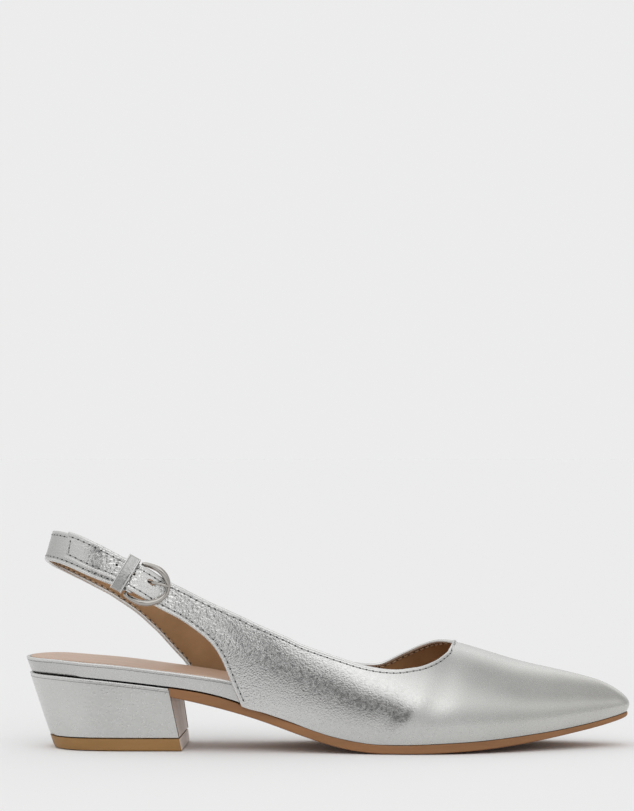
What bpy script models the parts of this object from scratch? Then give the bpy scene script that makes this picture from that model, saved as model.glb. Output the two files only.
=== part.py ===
"""Right slingback pump with a pointed toe and a low block heel.

Metres. The toe is at +X, the foot's outer side at -Y, and the floor at z = 0.
"""

import math

import bmesh
import bpy
from mathutils import Vector

# LENGTH is the whole shoe's, BALL the width of the foot's form there. The others are heights over the floor:
# of the board at the heel, of the form's crest at the throat and of the strap at the back.
LENGTH = 0.2705
BALL = 0.0750
SEAT = 0.0407
THROAT = 0.0477
COLLAR = 0.0965
WALL = 0.0015
GAP = 0.0003
OUTER = -1
INNER = 1

# The upper stands out from the board by FEATHER_STEP, and the outsole by WELT_WIDTH.
FEATHER_STEP = 0.0019
WELT_WIDTH = 0.0023
RIM_LEAN = 0.0020
BULGE = 0.0020
TOE_ACROSS = 0.073 * BALL

# Outline of the board seen from above, from the heel's back along the outer side and back along the inner one.
# Columns: along as a share of LENGTH, across as a share of BALL.
BOARD = (
    (0.000, 0.000), (0.006, -0.115), (0.022, -0.219), (0.052, -0.296), (0.096, -0.334), (0.166, -0.347),
    (0.259, -0.347), (0.359, -0.361), (0.458, -0.408), (0.555, -0.467), (0.636, -0.497), (0.710, -0.471),
    (0.784, -0.384), (0.858, -0.251), (0.924, -0.115), (0.965, -0.024), (0.983, 0.022), (0.989, 0.073),
    (0.983, 0.124), (0.965, 0.160), (0.924, 0.224), (0.858, 0.317), (0.784, 0.403), (0.725, 0.444),
    (0.673, 0.453), (0.610, 0.421), (0.536, 0.353), (0.451, 0.291), (0.359, 0.271), (0.259, 0.300),
    (0.166, 0.328), (0.096, 0.325), (0.052, 0.291), (0.022, 0.217), (0.006, 0.113),
)

# Columns: along as a share of LENGTH, height of the outsole's underside as a share of SEAT.
UNDERSIDE = (
    (0.24, 0.585), (0.263, 0.555), (0.30, 0.499), (0.35, 0.413), (0.40, 0.310), (0.45, 0.194), (0.48, 0.128),
    (0.51, 0.069), (0.54, 0.028), (0.57, 0.005), (0.59, 0.0), (0.65, 0.0), (0.70, 0.014), (0.75, 0.034),
    (0.80, 0.069), (0.85, 0.115), (0.90, 0.171), (0.95, 0.234), (0.98, 0.284), (1.00, 0.325),
)

# Columns: along, height of the line where the outsole or heel ends and the upper or rim starts (share of SEAT).
FEATHER = (
    (0.00, 0.822), (0.044, 0.813), (0.095, 0.786), (0.16, 0.745), (0.225, 0.696), (0.26, 0.667), (0.29, 0.635),
    (0.323, 0.585), (0.352, 0.526), (0.372, 0.476), (0.404, 0.403), (0.437, 0.331), (0.469, 0.252),
    (0.502, 0.184), (0.534, 0.138), (0.566, 0.106), (0.614, 0.098), (0.679, 0.110), (0.744, 0.130),
    (0.811, 0.167), (0.878, 0.216), (0.913, 0.251), (0.947, 0.292), (0.982, 0.346), (1.00, 0.380),
)

# Columns: along, height of the board's top (share of SEAT).
BOARD_TOP = (
    (0.00, 1.0), (0.061, 0.989), (0.095, 0.968), (0.16, 0.931), (0.225, 0.877), (0.29, 0.821), (0.339, 0.769),
    (0.40, 0.632), (0.45, 0.468), (0.50, 0.316), (0.55, 0.224), (0.60, 0.182), (0.70, 0.190), (0.80, 0.230),
    (0.90, 0.306), (0.96, 0.376), (1.00, 0.430),
)

# How far the board's lower edge stands in from its upper one. Columns: along, share of RIM_LEAN.
UNDERCUT = ((0.0, 1.0), (0.05, 0.8), (0.12, 0.6), (0.25, 0.3), (0.35, 0.2), (1.0, 0.2))

# How far the outsole stands out from the board, as a share of WELT_WIDTH.
# Columns: along, at the outer side, at the inner side.
WELT = (
    (0.24, 0.04, 0.04), (0.27, 0.04, 0.35), (0.34, 0.04, 0.95), (0.385, 0.04, 1.0), (0.40, 0.04, 1.0),
    (0.42, 0.45, 1.0), (0.44, 0.90, 1.0), (0.46, 1.0, 1.0), (0.49, 1.0, 1.0), (1.0, 1.0, 1.0),
)

# Crest of the foot's form. Columns: along, height (share of THROAT), across (share of BALL).
CREST = (
    (0.133, 3.14, 0.000), (0.185, 2.96, 0.004), (0.260, 2.62, 0.008), (0.314, 2.37, 0.013), (0.370, 2.12, 0.018),
    (0.425, 1.89, 0.024), (0.480, 1.68, 0.030), (0.536, 1.49, 0.038), (0.590, 1.30, 0.046), (0.647, 1.12, 0.052),
    (0.695, 1.00, 0.059), (0.713, 0.969, 0.064), (0.735, 0.933, 0.070), (0.768, 0.876, 0.080),
    (0.801, 0.818, 0.087), (0.835, 0.768, 0.091), (0.868, 0.727, 0.093), (0.901, 0.684, 0.093),
    (0.935, 0.634, 0.093), (0.960, 0.590, 0.090),
)

# Columns: along, exponent of the section's arch, bulge of the wall as a share of BULGE.
FULLNESS = (
    (0.0, 2.0, 0.4), (0.36, 2.0, 0.5), (0.55, 2.0, 0.8), (0.70, 2.12, 1.0), (0.83, 2.3, 0.8), (1.0, 2.6, 0.75),
)

# Outer quarter with its tongue, from the tongue's end to the corner at the feather line.
# Columns: upper edge along, its height; lower edge along, its height (shares of LENGTH and COLLAR).
OUTER_BAND = (
    (0.0717, 0.997, 0.0717, 0.884), (0.0925, 0.982, 0.0870, 0.869), (0.1113, 0.961, 0.1005, 0.851),
    (0.1275, 0.939, 0.1131, 0.835), (0.1480, 0.909, 0.1305, 0.812), (0.1715, 0.874, 0.1523, 0.785),
    (0.1945, 0.845, 0.1730, 0.745), (0.2126, 0.818, 0.1896, 0.718), (0.2292, 0.791, 0.2033, 0.694),
    (0.2440, 0.768, 0.2163, 0.670), (0.2625, 0.743, 0.2348, 0.642), (0.2847, 0.711, 0.2569, 0.610),
    (0.3087, 0.678, 0.2791, 0.568), (0.3346, 0.645, 0.3000, 0.522), (0.3586, 0.615, 0.3150, 0.476),
    (0.3808, 0.585, 0.3266, 0.422), (0.4011, 0.560, 0.3358, 0.362), (0.4177, 0.540, 0.3446, 0.300),
)
OUTER_CORNER = 0.3586
# The outer quarter's corner hangs over the board's edge by CORNER_DROP, and is level with it at CORNER_END.
CORNER_DROP = 0.0009
CORNER_END = 0.40
OUTER_TOPLINE_START = (0.4325, 0.523)

# Topline from the outer quarter to the throat's front. Columns: along, height as a share of the way from the
# feather line to the crest.
OUTER_TOPLINE = (
    (0.4529, 0.489), (0.4843, 0.506), (0.5176, 0.520), (0.5508, 0.533), (0.5834, 0.559), (0.6010, 0.580),
    (0.6159, 0.605), (0.6322, 0.644), (0.6484, 0.684), (0.6647, 0.742), (0.6810, 0.817), (0.6972, 0.913),
    (0.7050, 0.975), (0.7079, 1.0),
)
INNER_TOPLINE = (
    (0.4436, 0.412), (0.4990, 0.432), (0.5360, 0.443), (0.5619, 0.452), (0.5860, 0.502), (0.6026, 0.578),
    (0.6200, 0.658), (0.6366, 0.733), (0.6532, 0.814), (0.6691, 0.889), (0.6858, 0.957), (0.7000, 0.990),
    (0.7079, 1.0),
)

# Inner quarter and the strap round the heel. Columns as in OUTER_BAND, but along is measured round the
# heel's bend: it falls to HEEL_CENTRE at the middle of the back.
INNER_BAND = (
    (0.3475, 0.563, 0.2699, 0.324), (0.3253, 0.590, 0.2595, 0.372), (0.2994, 0.627, 0.2447, 0.417),
    (0.2773, 0.662, 0.2311, 0.459), (0.2551, 0.698, 0.2159, 0.506), (0.2329, 0.738, 0.1996, 0.549),
    (0.2126, 0.779, 0.1830, 0.591), (0.1922, 0.814, 0.1664, 0.626), (0.1701, 0.844, 0.1479, 0.660),
    (0.1500, 0.868, 0.1320, 0.690), (0.1294, 0.893, 0.1146, 0.722), (0.1072, 0.917, 0.0943, 0.756),
    (0.0850, 0.937, 0.0739, 0.785), (0.0610, 0.956, 0.0536, 0.810), (0.0370, 0.974, 0.0314, 0.832),
    (0.0111, 0.988, 0.0085, 0.852), (-0.0148, 0.997, -0.0148, 0.866),
)
HEEL_STRAP = (
    (0.0111, 1.000, 0.0085, 0.870), (0.0370, 1.000, 0.0314, 0.868), (0.0610, 0.994, 0.0536, 0.862),
    (0.0813, 0.982, 0.0721, 0.850), (0.1035, 0.962, 0.0906, 0.832), (0.1257, 0.935, 0.1091, 0.809),
    (0.1457, 0.906, 0.1265, 0.787),
)
INNER_CORNER = 0.2810
INNER_TOPLINE_START = (0.3697, 0.535)
HEEL_BEND = 0.133 * LENGTH
HEEL_CENTRE = -0.0148 * LENGTH
# The strap's back is at STRAP_BACK where its height is STRAP_MIDDLE, and leans forward above that.
STRAP_BACK = 0.0296 * LENGTH
STRAP_MIDDLE = 0.865 * COLLAR
STRAP_LEAN = 0.288
THROAT_X = 0.7079 * LENGTH
CREST_END = 0.939 * LENGTH
ROWS = 10
# A turn of one radian counts as this far where points are spaced along a line.
TURN_REACH = 0.05

# The buckle's bar crosses the strap here, and the strap runs down and forward from it.
BAR_X = 0.183 * LENGTH
BAR_Z = 0.7845 * COLLAR
STRAP_SLOPE = math.atan(1.684 * COLLAR / LENGTH)
BAR_RADIUS = 0.0007
WIRE_RADIUS = 0.00095
FOLD_RADIUS = 0.0025
BAR_DEPTH = -0.0006
BAR_LIFT = BAR_DEPTH + FOLD_RADIUS
LIFT_RUN = 0.008
BUCKLE_LENGTH = 0.0152
BUCKLE_HALF_WIDTH = 0.0084
FRAME_RISE = 0.0026
FRAME_DIP = 0.0004
FOLD_HALF_WIDTH = 0.0059
SLOT_ROWS = (5, 6)
SLOT_MIDDLE = FOLD_HALF_WIDTH * 0.2
PRONG_RADIUS = 0.0006
PRONG_RISE = 0.0036
EYE_RADIUS = 0.0014
# The tongue's hole is an oval round the prong.
HOLE_PLACE = 0.47 * BUCKLE_LENGTH
HOLE_LENGTH = 0.0038
HOLE_WIDTH = 0.0020
KEEPER_BACK = -0.0070
KEEPER_FRONT = -0.0021
KEEPER_WALL = 0.0012
KEEPER_HALF_WIDTH = 0.0084
KEEPER_CORNER = 0.0011

# The origin is put under the middle of the top lift.
LIFT_MIDDLE = 0.155 * LENGTH
HEEL_RUN = 0.242 * LENGTH
HALF_HEEL = BALL / 3
HEEL_INSET = 0.0012
HEEL_TOP = 0.769 * SEAT
LIFT_TOP = 0.0058
HEEL_BACK_TOP = 0.0019
HEEL_BACK_LEAN = 0.333
# The breast leans more at its outer edge than at its inner one.
BREAST_FLOOR = 0.2606 * LENGTH
BREAST_LEAN_OUTER = 0.2176
BREAST_LEAN_INNER = 0.145
BREAST_SKEW = 0.037


def smooth(table, column, share=1.0):
    """A curve through one column of a table, by the table's first column."""
    xs = [row[0] for row in table]
    ys = [row[column] for row in table]
    steps = [(ys[i + 1] - ys[i]) / (xs[i + 1] - xs[i]) for i in range(len(xs) - 1)]
    slopes = [steps[0]]
    for i in range(1, len(xs) - 1):
        before = xs[i] - xs[i - 1]
        after = xs[i + 1] - xs[i]
        slopes.append((steps[i] * before + steps[i - 1] * after) / (before + after))
    slopes.append(steps[-1])

    def at(x):
        if x <= xs[0]:
            return share * (ys[0] + slopes[0] * (x - xs[0]))
        if x >= xs[-1]:
            return share * (ys[-1] + slopes[-1] * (x - xs[-1]))
        i = max(k for k in range(len(xs) - 1) if xs[k] <= x)
        width = xs[i + 1] - xs[i]
        t = (x - xs[i]) / width
        a = (2 * t**3 - 3 * t**2 + 1) * ys[i] + (t**3 - 2 * t**2 + t) * width * slopes[i]
        b = (3 * t**2 - 2 * t**3) * ys[i + 1] + (t**3 - t**2) * width * slopes[i + 1]
        return share * (a + b)

    return at


def spline(points, closed=False, fine=12):
    """A smooth line through points of any number of coordinates, as a list of Vectors."""
    count = len(points)
    points = [Vector(p) for p in points]

    def tangent(i):
        if closed:
            before, after = points[i - 1], points[(i + 1) % count]
        else:
            before, after = points[max(i - 1, 0)], points[min(i + 1, count - 1)]
        reach = (points[i] - before).length + (after - points[i]).length
        return (after - before) / reach

    line = []
    for i in range(count if closed else count - 1):
        a, b = points[i], points[(i + 1) % count]
        chord = (b - a).length
        ta, tb = tangent(i) * chord, tangent((i + 1) % count) * chord
        for k in range(fine):
            t = k / fine
            line.append(
                a * (2 * t**3 - 3 * t**2 + 1) + ta * (t**3 - 2 * t**2 + t)
                + b * (3 * t**2 - 2 * t**3) + tb * (t**3 - t**2)
            )
    if not closed:
        line.append(points[-1])
    return line


BOARD_LINE = spline([(x * LENGTH, y * BALL) for x, y in BOARD], closed=True, fine=16)


def stood_off(distance):
    """The board's outline moved outwards by a distance, or by a function of the place along and the side."""
    moved = []
    count = len(BOARD_LINE)
    for i, point in enumerate(BOARD_LINE):
        along = BOARD_LINE[(i + 1) % count] - BOARD_LINE[i - 1]
        out = Vector((along.y, -along.x)).normalized()
        side = OUTER if point.y < TOE_ACROSS * point.x / LENGTH else INNER
        reach = distance(point.x / LENGTH, side) if callable(distance) else distance
        moved.append(point + out * reach)
    return moved


def edge_of(line):
    """From a closed outline: its two ends, and a function that gives its point at an x on either side."""
    back = min(range(len(line)), key=lambda i: line[i].x)
    front = max(range(len(line)), key=lambda i: line[i].x)
    outer = [line[i % len(line)] for i in range(back, back + (front - back) % len(line) + 1)]
    inner = [line[i % len(line)] for i in range(front, front + (back - front) % len(line) + 1)][::-1]

    def at(x, side):
        part = outer if side == OUTER else inner
        for a, b in zip(part, part[1:]):
            if a.x <= x <= b.x:
                t = (x - a.x) / max(b.x - a.x, 1e-9)
                return a.lerp(b, t)
        return part[0] if x < part[0].x else part[-1]

    return line[back], line[front], at


feather_height = smooth(FEATHER, 1, SEAT)
underside_height = smooth(UNDERSIDE, 1, SEAT)
board_height = smooth(BOARD_TOP, 1, SEAT)
crest_height = smooth(CREST, 1, THROAT)
crest_across = smooth(CREST, 2, BALL)
arch_power = smooth(FULLNESS, 1)
wall_bulge = smooth(FULLNESS, 2, BULGE)
undercut = smooth(UNDERCUT, 1, RIM_LEAN)
welt_outer = smooth(WELT, 1, WELT_WIDTH)
welt_inner = smooth(WELT, 2, WELT_WIDTH)
_, UPPER_TIP, upper_edge = edge_of(stood_off(FEATHER_STEP))


def material(name, colour, metallic, rough):
    made = bpy.data.materials.new(name)
    made.use_nodes = True
    shader = made.node_tree.nodes["Principled BSDF"]
    shader.inputs["Base Color"].default_value = (*colour, 1)
    shader.inputs["Metallic"].default_value = metallic
    shader.inputs["Roughness"].default_value = rough
    return made


def add_object(name, mesh_or_curve, look):
    made = bpy.data.objects.new(name, mesh_or_curve)
    made.data.materials.append(look)
    SHOE.objects.link(made)
    return made


def mesh_from(name, vertices, faces, shading=True):
    mesh = bpy.data.meshes.new(name)
    mesh.from_pydata([tuple(v) for v in vertices], [], faces)
    work = bmesh.new()
    work.from_mesh(mesh)
    bmesh.ops.remove_doubles(work, verts=work.verts, dist=1e-6)
    bmesh.ops.recalc_face_normals(work, faces=work.faces)
    for face in work.faces:
        face.smooth = shading
    work.to_mesh(mesh)
    work.free()
    return mesh


def stack(name, rings, look, across=2):
    """A closed solid through rings of paired points, outer and inner side, from the lowest to the highest."""
    vertices, faces = [], []
    last = len(rings) - 1
    count = len(rings[0][0])
    index = {}

    def vertex(ring, station, step):
        key = (ring, station, step)
        if key not in index:
            a, b = rings[ring][0][station], rings[ring][1][station]
            index[key] = len(vertices)
            vertices.append(a.lerp(b, step / (across + 1)))
        return index[key]

    far = across + 1
    for station in range(count - 1):
        for step in range(far):
            for ring in (0, last):
                faces.append([
                    vertex(ring, station, step), vertex(ring, station, step + 1),
                    vertex(ring, station + 1, step + 1), vertex(ring, station + 1, step),
                ])
        for ring in range(last):
            for step in (0, far):
                faces.append([
                    vertex(ring, station, step), vertex(ring, station + 1, step),
                    vertex(ring + 1, station + 1, step), vertex(ring + 1, station, step),
                ])
    for station in (0, count - 1):
        for ring in range(last):
            for step in range(far):
                faces.append([
                    vertex(ring, station, step), vertex(ring, station, step + 1),
                    vertex(ring + 1, station, step + 1), vertex(ring + 1, station, step),
                ])
    solid = []
    for face in faces:
        kept = []
        for v in face:
            if all((vertices[v] - vertices[w]).length > 1e-6 for w in kept):
                kept.append(v)
        if len(kept) > 2:
            solid.append(kept)
    return add_object(name, mesh_from(name, vertices, solid), look)


def stations(start, end, count, start_round=False, end_round=False):
    """Places from start to end, closer together at a rounded end."""
    places = []
    for i in range(count + 1):
        t = i / count
        if start_round and end_round:
            t = 0.5 - 0.5 * math.cos(math.pi * t)
        elif start_round:
            t = t**1.6
        elif end_round:
            t = 1 - (1 - t) ** 1.6
        places.append(start + (end - start) * t)
    return places


def board_ring(places, outset, height):
    """A ring on the board's outline, moved out by outset(share, side) and at height(share)."""
    _, _, edge = edge_of(BOARD_LINE)
    moved = stood_off(outset)
    sides = []
    for side in (OUTER, INNER):
        ring = []
        for x in places:
            point = edge(x, side)
            nearest = min(range(len(BOARD_LINE)), key=lambda i: (BOARD_LINE[i] - point).length)
            shift = moved[nearest] - BOARD_LINE[nearest]
            spot = point + shift
            ring.append(Vector((spot.x, spot.y, height(spot.x / LENGTH))))
        sides.append(ring)
    for end in (0, -1):
        if (sides[0][end] - sides[1][end]).length < 0.0004:
            sides[1][end] = sides[0][end].copy()
    return sides


def heel_back(z):
    return HEEL_BACK_TOP + (HEEL_TOP - z) * HEEL_BACK_LEAN


def breast(y, z):
    inner_share = (y + HALF_HEEL) / (2 * HALF_HEEL)
    lean = BREAST_LEAN_OUTER + (BREAST_LEAN_INNER - BREAST_LEAN_OUTER) * inner_share
    return BREAST_FLOOR - z * lean + BREAST_SKEW * (y + HALF_HEEL)


def heel_ring(steps, height, inset=0.0):
    """A ring round the heel block. Height is a function of the place along, as a share of HEEL_RUN."""
    _, _, edge = edge_of(BOARD_LINE)
    sides = []
    for side in (OUTER, INNER):
        ring = []
        for step in steps:
            z = height(step)
            width = abs(edge(step * HEEL_RUN, side).y) * (1 - HEEL_INSET / HALF_HEEL)
            y = side * max(width - inset, 0.0) if step > 0 else 0.0
            back = heel_back(z) + inset
            x = back + step * (breast(y, z) - inset - back)
            ring.append(Vector((x, y, z)))
        sides.append(ring)
    sides[1][0] = sides[0][0].copy()
    return sides


def ease(t):
    t = min(max(t, 0.0), 1.0)
    return t * t * (3 - 2 * t)


def foot_height(share, side):
    """Height of the upper's lower edge."""
    drop = CORNER_DROP * ease(10 * (CORNER_END - share) / CORNER_END) if side == OUTER else 0.0
    return feather_height(share) + GAP - drop


def band_turn(along, height, side):
    """The section's angle at which the foot's form reaches a height, at a place along."""
    share = max(along, HEEL_BEND) / LENGTH
    low, high = foot_height(share, side), crest_height(share)
    rise = min(max((height - low) / (high - low), 0.0), 1.0)
    return math.asin(rise ** (arch_power(share) / 2))


def rise_turn(along, rise):
    return math.asin(min(rise, 1.0) ** (arch_power(along / LENGTH) / 2))


def form(along, turn, side):
    """A point of the foot's form, by the place along, the angle of its arch and the side."""
    x = max(along, HEEL_BEND)
    share = x / LENGTH
    power = 2 / arch_power(share)
    level = math.cos(turn) ** power if turn < math.pi / 2 else 0.0
    rise = math.sin(turn) ** power if turn > 0 else 0.0
    foot = upper_edge(x, side).y
    crest = crest_across(share)
    low = foot_height(share, side)
    y = crest + (foot - crest) * level + side * wall_bulge(share) * math.sin(math.pi * rise) * level
    z = low + (crest_height(share) - low) * rise
    if along < HEEL_BEND:
        bend = (HEEL_BEND - along) / (HEEL_BEND - HEEL_CENTRE) * math.pi / 2
        depth = HEEL_BEND - (STRAP_BACK + (z - STRAP_MIDDLE) * STRAP_LEAN)
        x = HEEL_BEND - depth * math.sin(bend)
        y *= math.cos(bend)
    return Vector((x, y, z))


def outward(along, turn, side):
    """The form's normal, away from the foot."""
    step, tilt = 0.0006, 0.01
    run = form(along + step, turn, side) - form(along - step, turn, side)
    climb = form(along, turn + tilt, side) - form(along, turn - tilt, side)
    normal = run.cross(climb).normalized()
    away = Vector((0.0, side, 0.0))
    if along <= HEEL_BEND:
        away = form(along, turn, side) - Vector((HEEL_BEND, 0.0, BAR_Z))
    return normal if normal.dot(away) > 0 else -normal


def on_band(along, height, side, lift=0.0):
    turn = band_turn(along, height, side)
    return form(along, turn, side) + outward(along, turn, side) * lift


def at_buckle(a, p, n):
    """A point by the buckle's own directions: along the strap from the bar, across it, and out from the form."""
    along = BAR_X + a * math.cos(STRAP_SLOPE) + p * math.sin(STRAP_SLOPE)
    height = BAR_Z - a * math.sin(STRAP_SLOPE) + p * math.cos(STRAP_SLOPE)
    return on_band(along, height, OUTER, n)


def tongue_lift(x, z):
    """How far the tongue's outer face stands off the form: over the strap, then over the bar, then down."""
    a = (x - BAR_X) * math.cos(STRAP_SLOPE) - (z - BAR_Z) * math.sin(STRAP_SLOPE)
    if a < 0:
        return WALL + GAP + BAR_LIFT * ease(1 + a / LIFT_RUN)
    return (WALL + GAP + BAR_LIFT) * ease(1 - a / BUCKLE_LENGTH)


def strap_lift(x, z):
    a = (x - BAR_X) * math.cos(STRAP_SLOPE) - (z - BAR_Z) * math.sin(STRAP_SLOPE)
    return BAR_LIFT * ease(1 + a / LIFT_RUN)


def in_metres(rows):
    return [(a * LENGTH, b * COLLAR, c * LENGTH, d * COLLAR) for a, b, c, d in rows]


def resampled(rows, per_gap):
    """Rows of a band table in metres, with more rows between them on smooth lines."""
    return [tuple(row) for row in spline(in_metres(rows), fine=per_gap)]


def spaced(points, count, power=1.0):
    """Points evenly spaced along a smooth line in (along, turn), closer at its end where power is over 1."""
    line = spline(points, fine=10)
    lengths = [0.0]
    for a, b in zip(line, line[1:]):
        lengths.append(lengths[-1] + (b - a).length)
    picked = []
    for k in range(count + 1):
        goal = lengths[-1] * (1 - (1 - k / count) ** power)
        i = max(j for j in range(len(lengths)) if lengths[j] <= goal + 1e-12)
        i = min(i, len(line) - 2)
        t = (goal - lengths[i]) / (lengths[i + 1] - lengths[i])
        picked.append(line[i].lerp(line[i + 1], min(max(t, 0.0), 1.0)))
    return picked


def column_on_form(low_along, low_turn, high_along, high_turn, side, lift=None):
    column = []
    for row in range(ROWS + 1):
        t = row / ROWS
        along = low_along + (high_along - low_along) * t
        turn = low_turn + (high_turn - low_turn) * t
        point = form(along, turn, side)
        if lift:
            point += outward(along, turn, side) * lift(point.x, point.z)
        column.append(point)
    return column


def band_columns(rows, side, lift=None):
    columns = []
    for high_along, high, low_along, low in rows:
        low_turn = band_turn(low_along, low, side)
        high_turn = band_turn(high_along, high, side)
        columns.append(column_on_form(low_along, low_turn, high_along, high_turn, side, lift))
    return columns


def quarter_columns(corner, start, topline, side, count):
    """Columns from the corner at the feather line to the throat's front."""
    first = (start[0] * LENGTH, band_turn(start[0] * LENGTH, start[1] * COLLAR, side) * TURN_REACH)
    line = [first] + [(x * LENGTH, rise_turn(x * LENGTH, g) * TURN_REACH) for x, g in topline]
    tops = spaced(line, count)
    columns = []
    for k, top in enumerate(tops):
        low = corner * LENGTH + (THROAT_X - corner * LENGTH) * k / count
        columns.append(column_on_form(low, 0.0, top[0], top[1] / TURN_REACH, side))
    return columns


def vamp_columns(side, count):
    """Columns from the throat's front to the toe: they fan out round the toe from the end of the crest."""
    columns = []
    run = UPPER_TIP.x - THROAT_X
    first_slope = (CREST_END - THROAT_X) / run
    for k in range(count + 1):
        s = k / count
        f = (s**3 - 2 * s**2 + s) * first_slope + 3 * s**2 - 2 * s**3 + (s**3 - s**2) * 0.15
        foot_x = THROAT_X + run * f
        foot = upper_edge(foot_x, side) if k < count else UPPER_TIP
        crest_x = THROAT_X + (CREST_END - THROAT_X) * s
        share = crest_x / LENGTH
        crest = Vector((crest_x, crest_across(share)))
        slope = (crest_height(share + 0.01) - crest_height(share - 0.01)) / (0.02 * LENGTH)
        low = feather_height(foot.x / LENGTH) + GAP
        high = crest_height(share)
        full = crest_x / LENGTH + (1 - CREST_END / LENGTH) * s**2
        power = 2 / arch_power(full)
        bulge = wall_bulge(full)
        out = (foot - crest).normalized()
        column = []
        for row in range(ROWS + 1):
            turn = math.pi / 2 * row / ROWS
            level = math.cos(turn) ** power if row < ROWS else 0.0
            rise = math.sin(turn) ** power if row else 0.0
            spot = crest + (foot - crest) * level + out * bulge * math.sin(math.pi * rise) * level
            z = low + (high - low) * rise + slope * (spot.x - crest_x) * rise
            column.append(Vector((spot.x, spot.y, z)))
        columns.append(column)
    return columns


def fold_columns():
    """The strap's end, folded round the bar."""
    half = FOLD_HALF_WIDTH
    columns = []
    for back, wider in ((0.69, 1.085), (0.38, 1.034), (0.15, 1.0)):
        lift = BAR_LIFT * ease(1 - back)
        reach = half * wider
        columns.append([at_buckle(-back * LIFT_RUN, reach * (2 * r / ROWS - 1), lift) for r in range(ROWS + 1)])
    for angle in (90, 62, 34, 6, -22, -50, -78, -104):
        a = FOLD_RADIUS * math.cos(math.radians(angle))
        n = BAR_DEPTH + FOLD_RADIUS * math.sin(math.radians(angle))
        columns.append([at_buckle(a, half * (2 * r / ROWS - 1), n) for r in range(ROWS + 1)])
    return columns


def sheet_faces(columns, slot_start):
    """Faces between the columns, left out where the fold's slot is."""
    faces = []
    for c in range(len(columns) - 1):
        for r in range(ROWS):
            if c >= slot_start and r in SLOT_ROWS:
                continue
            a = c * (ROWS + 1) + r
            faces.append([a, a + 1, a + ROWS + 2, a + ROWS + 1])
    return faces


def tube(name, points, radius, look, closed=False, sides=8, scales=None):
    curve = bpy.data.curves.new(name, "CURVE")
    curve.dimensions = "3D"
    curve.bevel_depth = radius
    curve.bevel_resolution = max(sides // 2 - 2, 1)
    curve.use_fill_caps = True
    line = curve.splines.new("POLY")
    line.points.add(len(points) - 1)
    for spot, point in zip(line.points, points):
        spot.co = (*point, 1.0)
    for spot, scale in zip(line.points, scales or []):
        spot.radius = scale
    line.use_cyclic_u = closed
    return add_object(name, curve, look)


def make_upper(look):
    outer_band = band_columns(resampled(OUTER_BAND, 2), OUTER, tongue_lift)
    outer_quarter = quarter_columns(OUTER_CORNER, OUTER_TOPLINE_START, OUTER_TOPLINE, OUTER, 24)
    outer_vamp = vamp_columns(OUTER, 18)
    inner_vamp = vamp_columns(INNER, 18)
    inner_quarter = quarter_columns(INNER_CORNER, INNER_TOPLINE_START, INNER_TOPLINE, INNER, 26)
    inner_band = band_columns(in_metres(INNER_BAND), INNER)
    fold = fold_columns()
    heel_strap = band_columns(in_metres(HEEL_STRAP), OUTER, strap_lift) + fold
    columns = outer_band + outer_quarter + outer_vamp[1:]
    columns += inner_vamp[-2:0:-1] + inner_quarter[::-1] + inner_band + heel_strap
    vertices = [point for column in columns for point in column]
    faces = sheet_faces(columns, len(columns) - len(fold) + 1)
    mesh = mesh_from("upper", vertices, faces)
    toe = max(mesh.polygons, key=lambda f: f.center.x)
    if toe.normal.x < 0:
        mesh.flip_normals()
    upper = add_object("upper", mesh, look)
    wall = upper.modifiers.new("wall", "SOLIDIFY")
    wall.thickness = WALL
    wall.offset = -1
    wall.use_even_offset = True
    wall.use_rim = True
    return upper


for old in list(bpy.data.objects):
    bpy.data.objects.remove(old, do_unlink=True)

SHOE = bpy.data.collections.new("slingback_pump")
bpy.context.scene.collection.children.link(SHOE)
CUTTERS = bpy.data.collections.new("cutters")
bpy.context.scene.collection.children.link(CUTTERS)

silver = material("silver_leather", (0.62, 0.62, 0.60), 0.85, 0.35)
sole_leather = material("sole_leather", (0.30, 0.16, 0.07), 0.0, 0.5)
lift_tan = material("lift_tan", (0.36, 0.20, 0.08), 0.0, 0.5)
sock_leather = material("sock_leather", (0.50, 0.33, 0.22), 0.0, 0.55)
board_silver = material("rim_silver", (0.62, 0.62, 0.60), 0.85, 0.3)
heel_silver = material("heel_silver", (0.60, 0.60, 0.58), 0.85, 0.38)
keeper_silver = material("keeper_silver", (0.62, 0.62, 0.60), 0.85, 0.33)
polished = material("buckle_metal", (0.80, 0.78, 0.74), 1.0, 0.12)
prong_metal = material("prong_metal", (0.80, 0.78, 0.74), 1.0, 0.12)

make_upper(silver)

BACK, FRONT, _ = edge_of(BOARD_LINE)
whole = stations(BACK.x, FRONT.x, 48, start_round=True, end_round=True)


def board_underside(share):
    return feather_height(share) + GAP


def underside(share):
    return max(underside_height(share), 0.0)


def raised(height, rise):
    """The height curve moved up by a rise."""
    return lambda share: height(share) + rise


def inwards(amount):
    return lambda share, side: -amount


def rim_foot(inset):
    return lambda share, side: -undercut(share) - inset


def welt(inset):
    return lambda share, side: (welt_outer(share) if side == OUTER else welt_inner(share)) - inset


# The board's top has a round edge, and a shallow bed that the insole lies in.
BED_INSET = 0.0015
BED_DEPTH = 0.0008
stack(
    "insole_rim",
    [
        board_ring(whole, rim_foot(0.0008), board_underside),
        board_ring(whole, rim_foot(0.0), raised(board_underside, 0.0005)),
        board_ring(whole, inwards(0.0), raised(board_height, -0.0009)),
        board_ring(whole, inwards(0.0003), raised(board_height, -0.0002)),
        board_ring(whole, inwards(0.0008), board_height),
        board_ring(whole, inwards(0.0012), raised(board_height, -0.0002)),
        board_ring(whole, inwards(BED_INSET), raised(board_height, -BED_DEPTH)),
    ],
    board_silver,
)
stack(
    "insole",
    [
        board_ring(whole, inwards(BED_INSET + GAP), raised(board_height, GAP - BED_DEPTH)),
        board_ring(whole, inwards(BED_INSET + GAP), raised(board_height, -0.0001)),
        board_ring(whole, inwards(BED_INSET + 2 * GAP), raised(board_height, 0.0002)),
    ],
    sock_leather,
)

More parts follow.
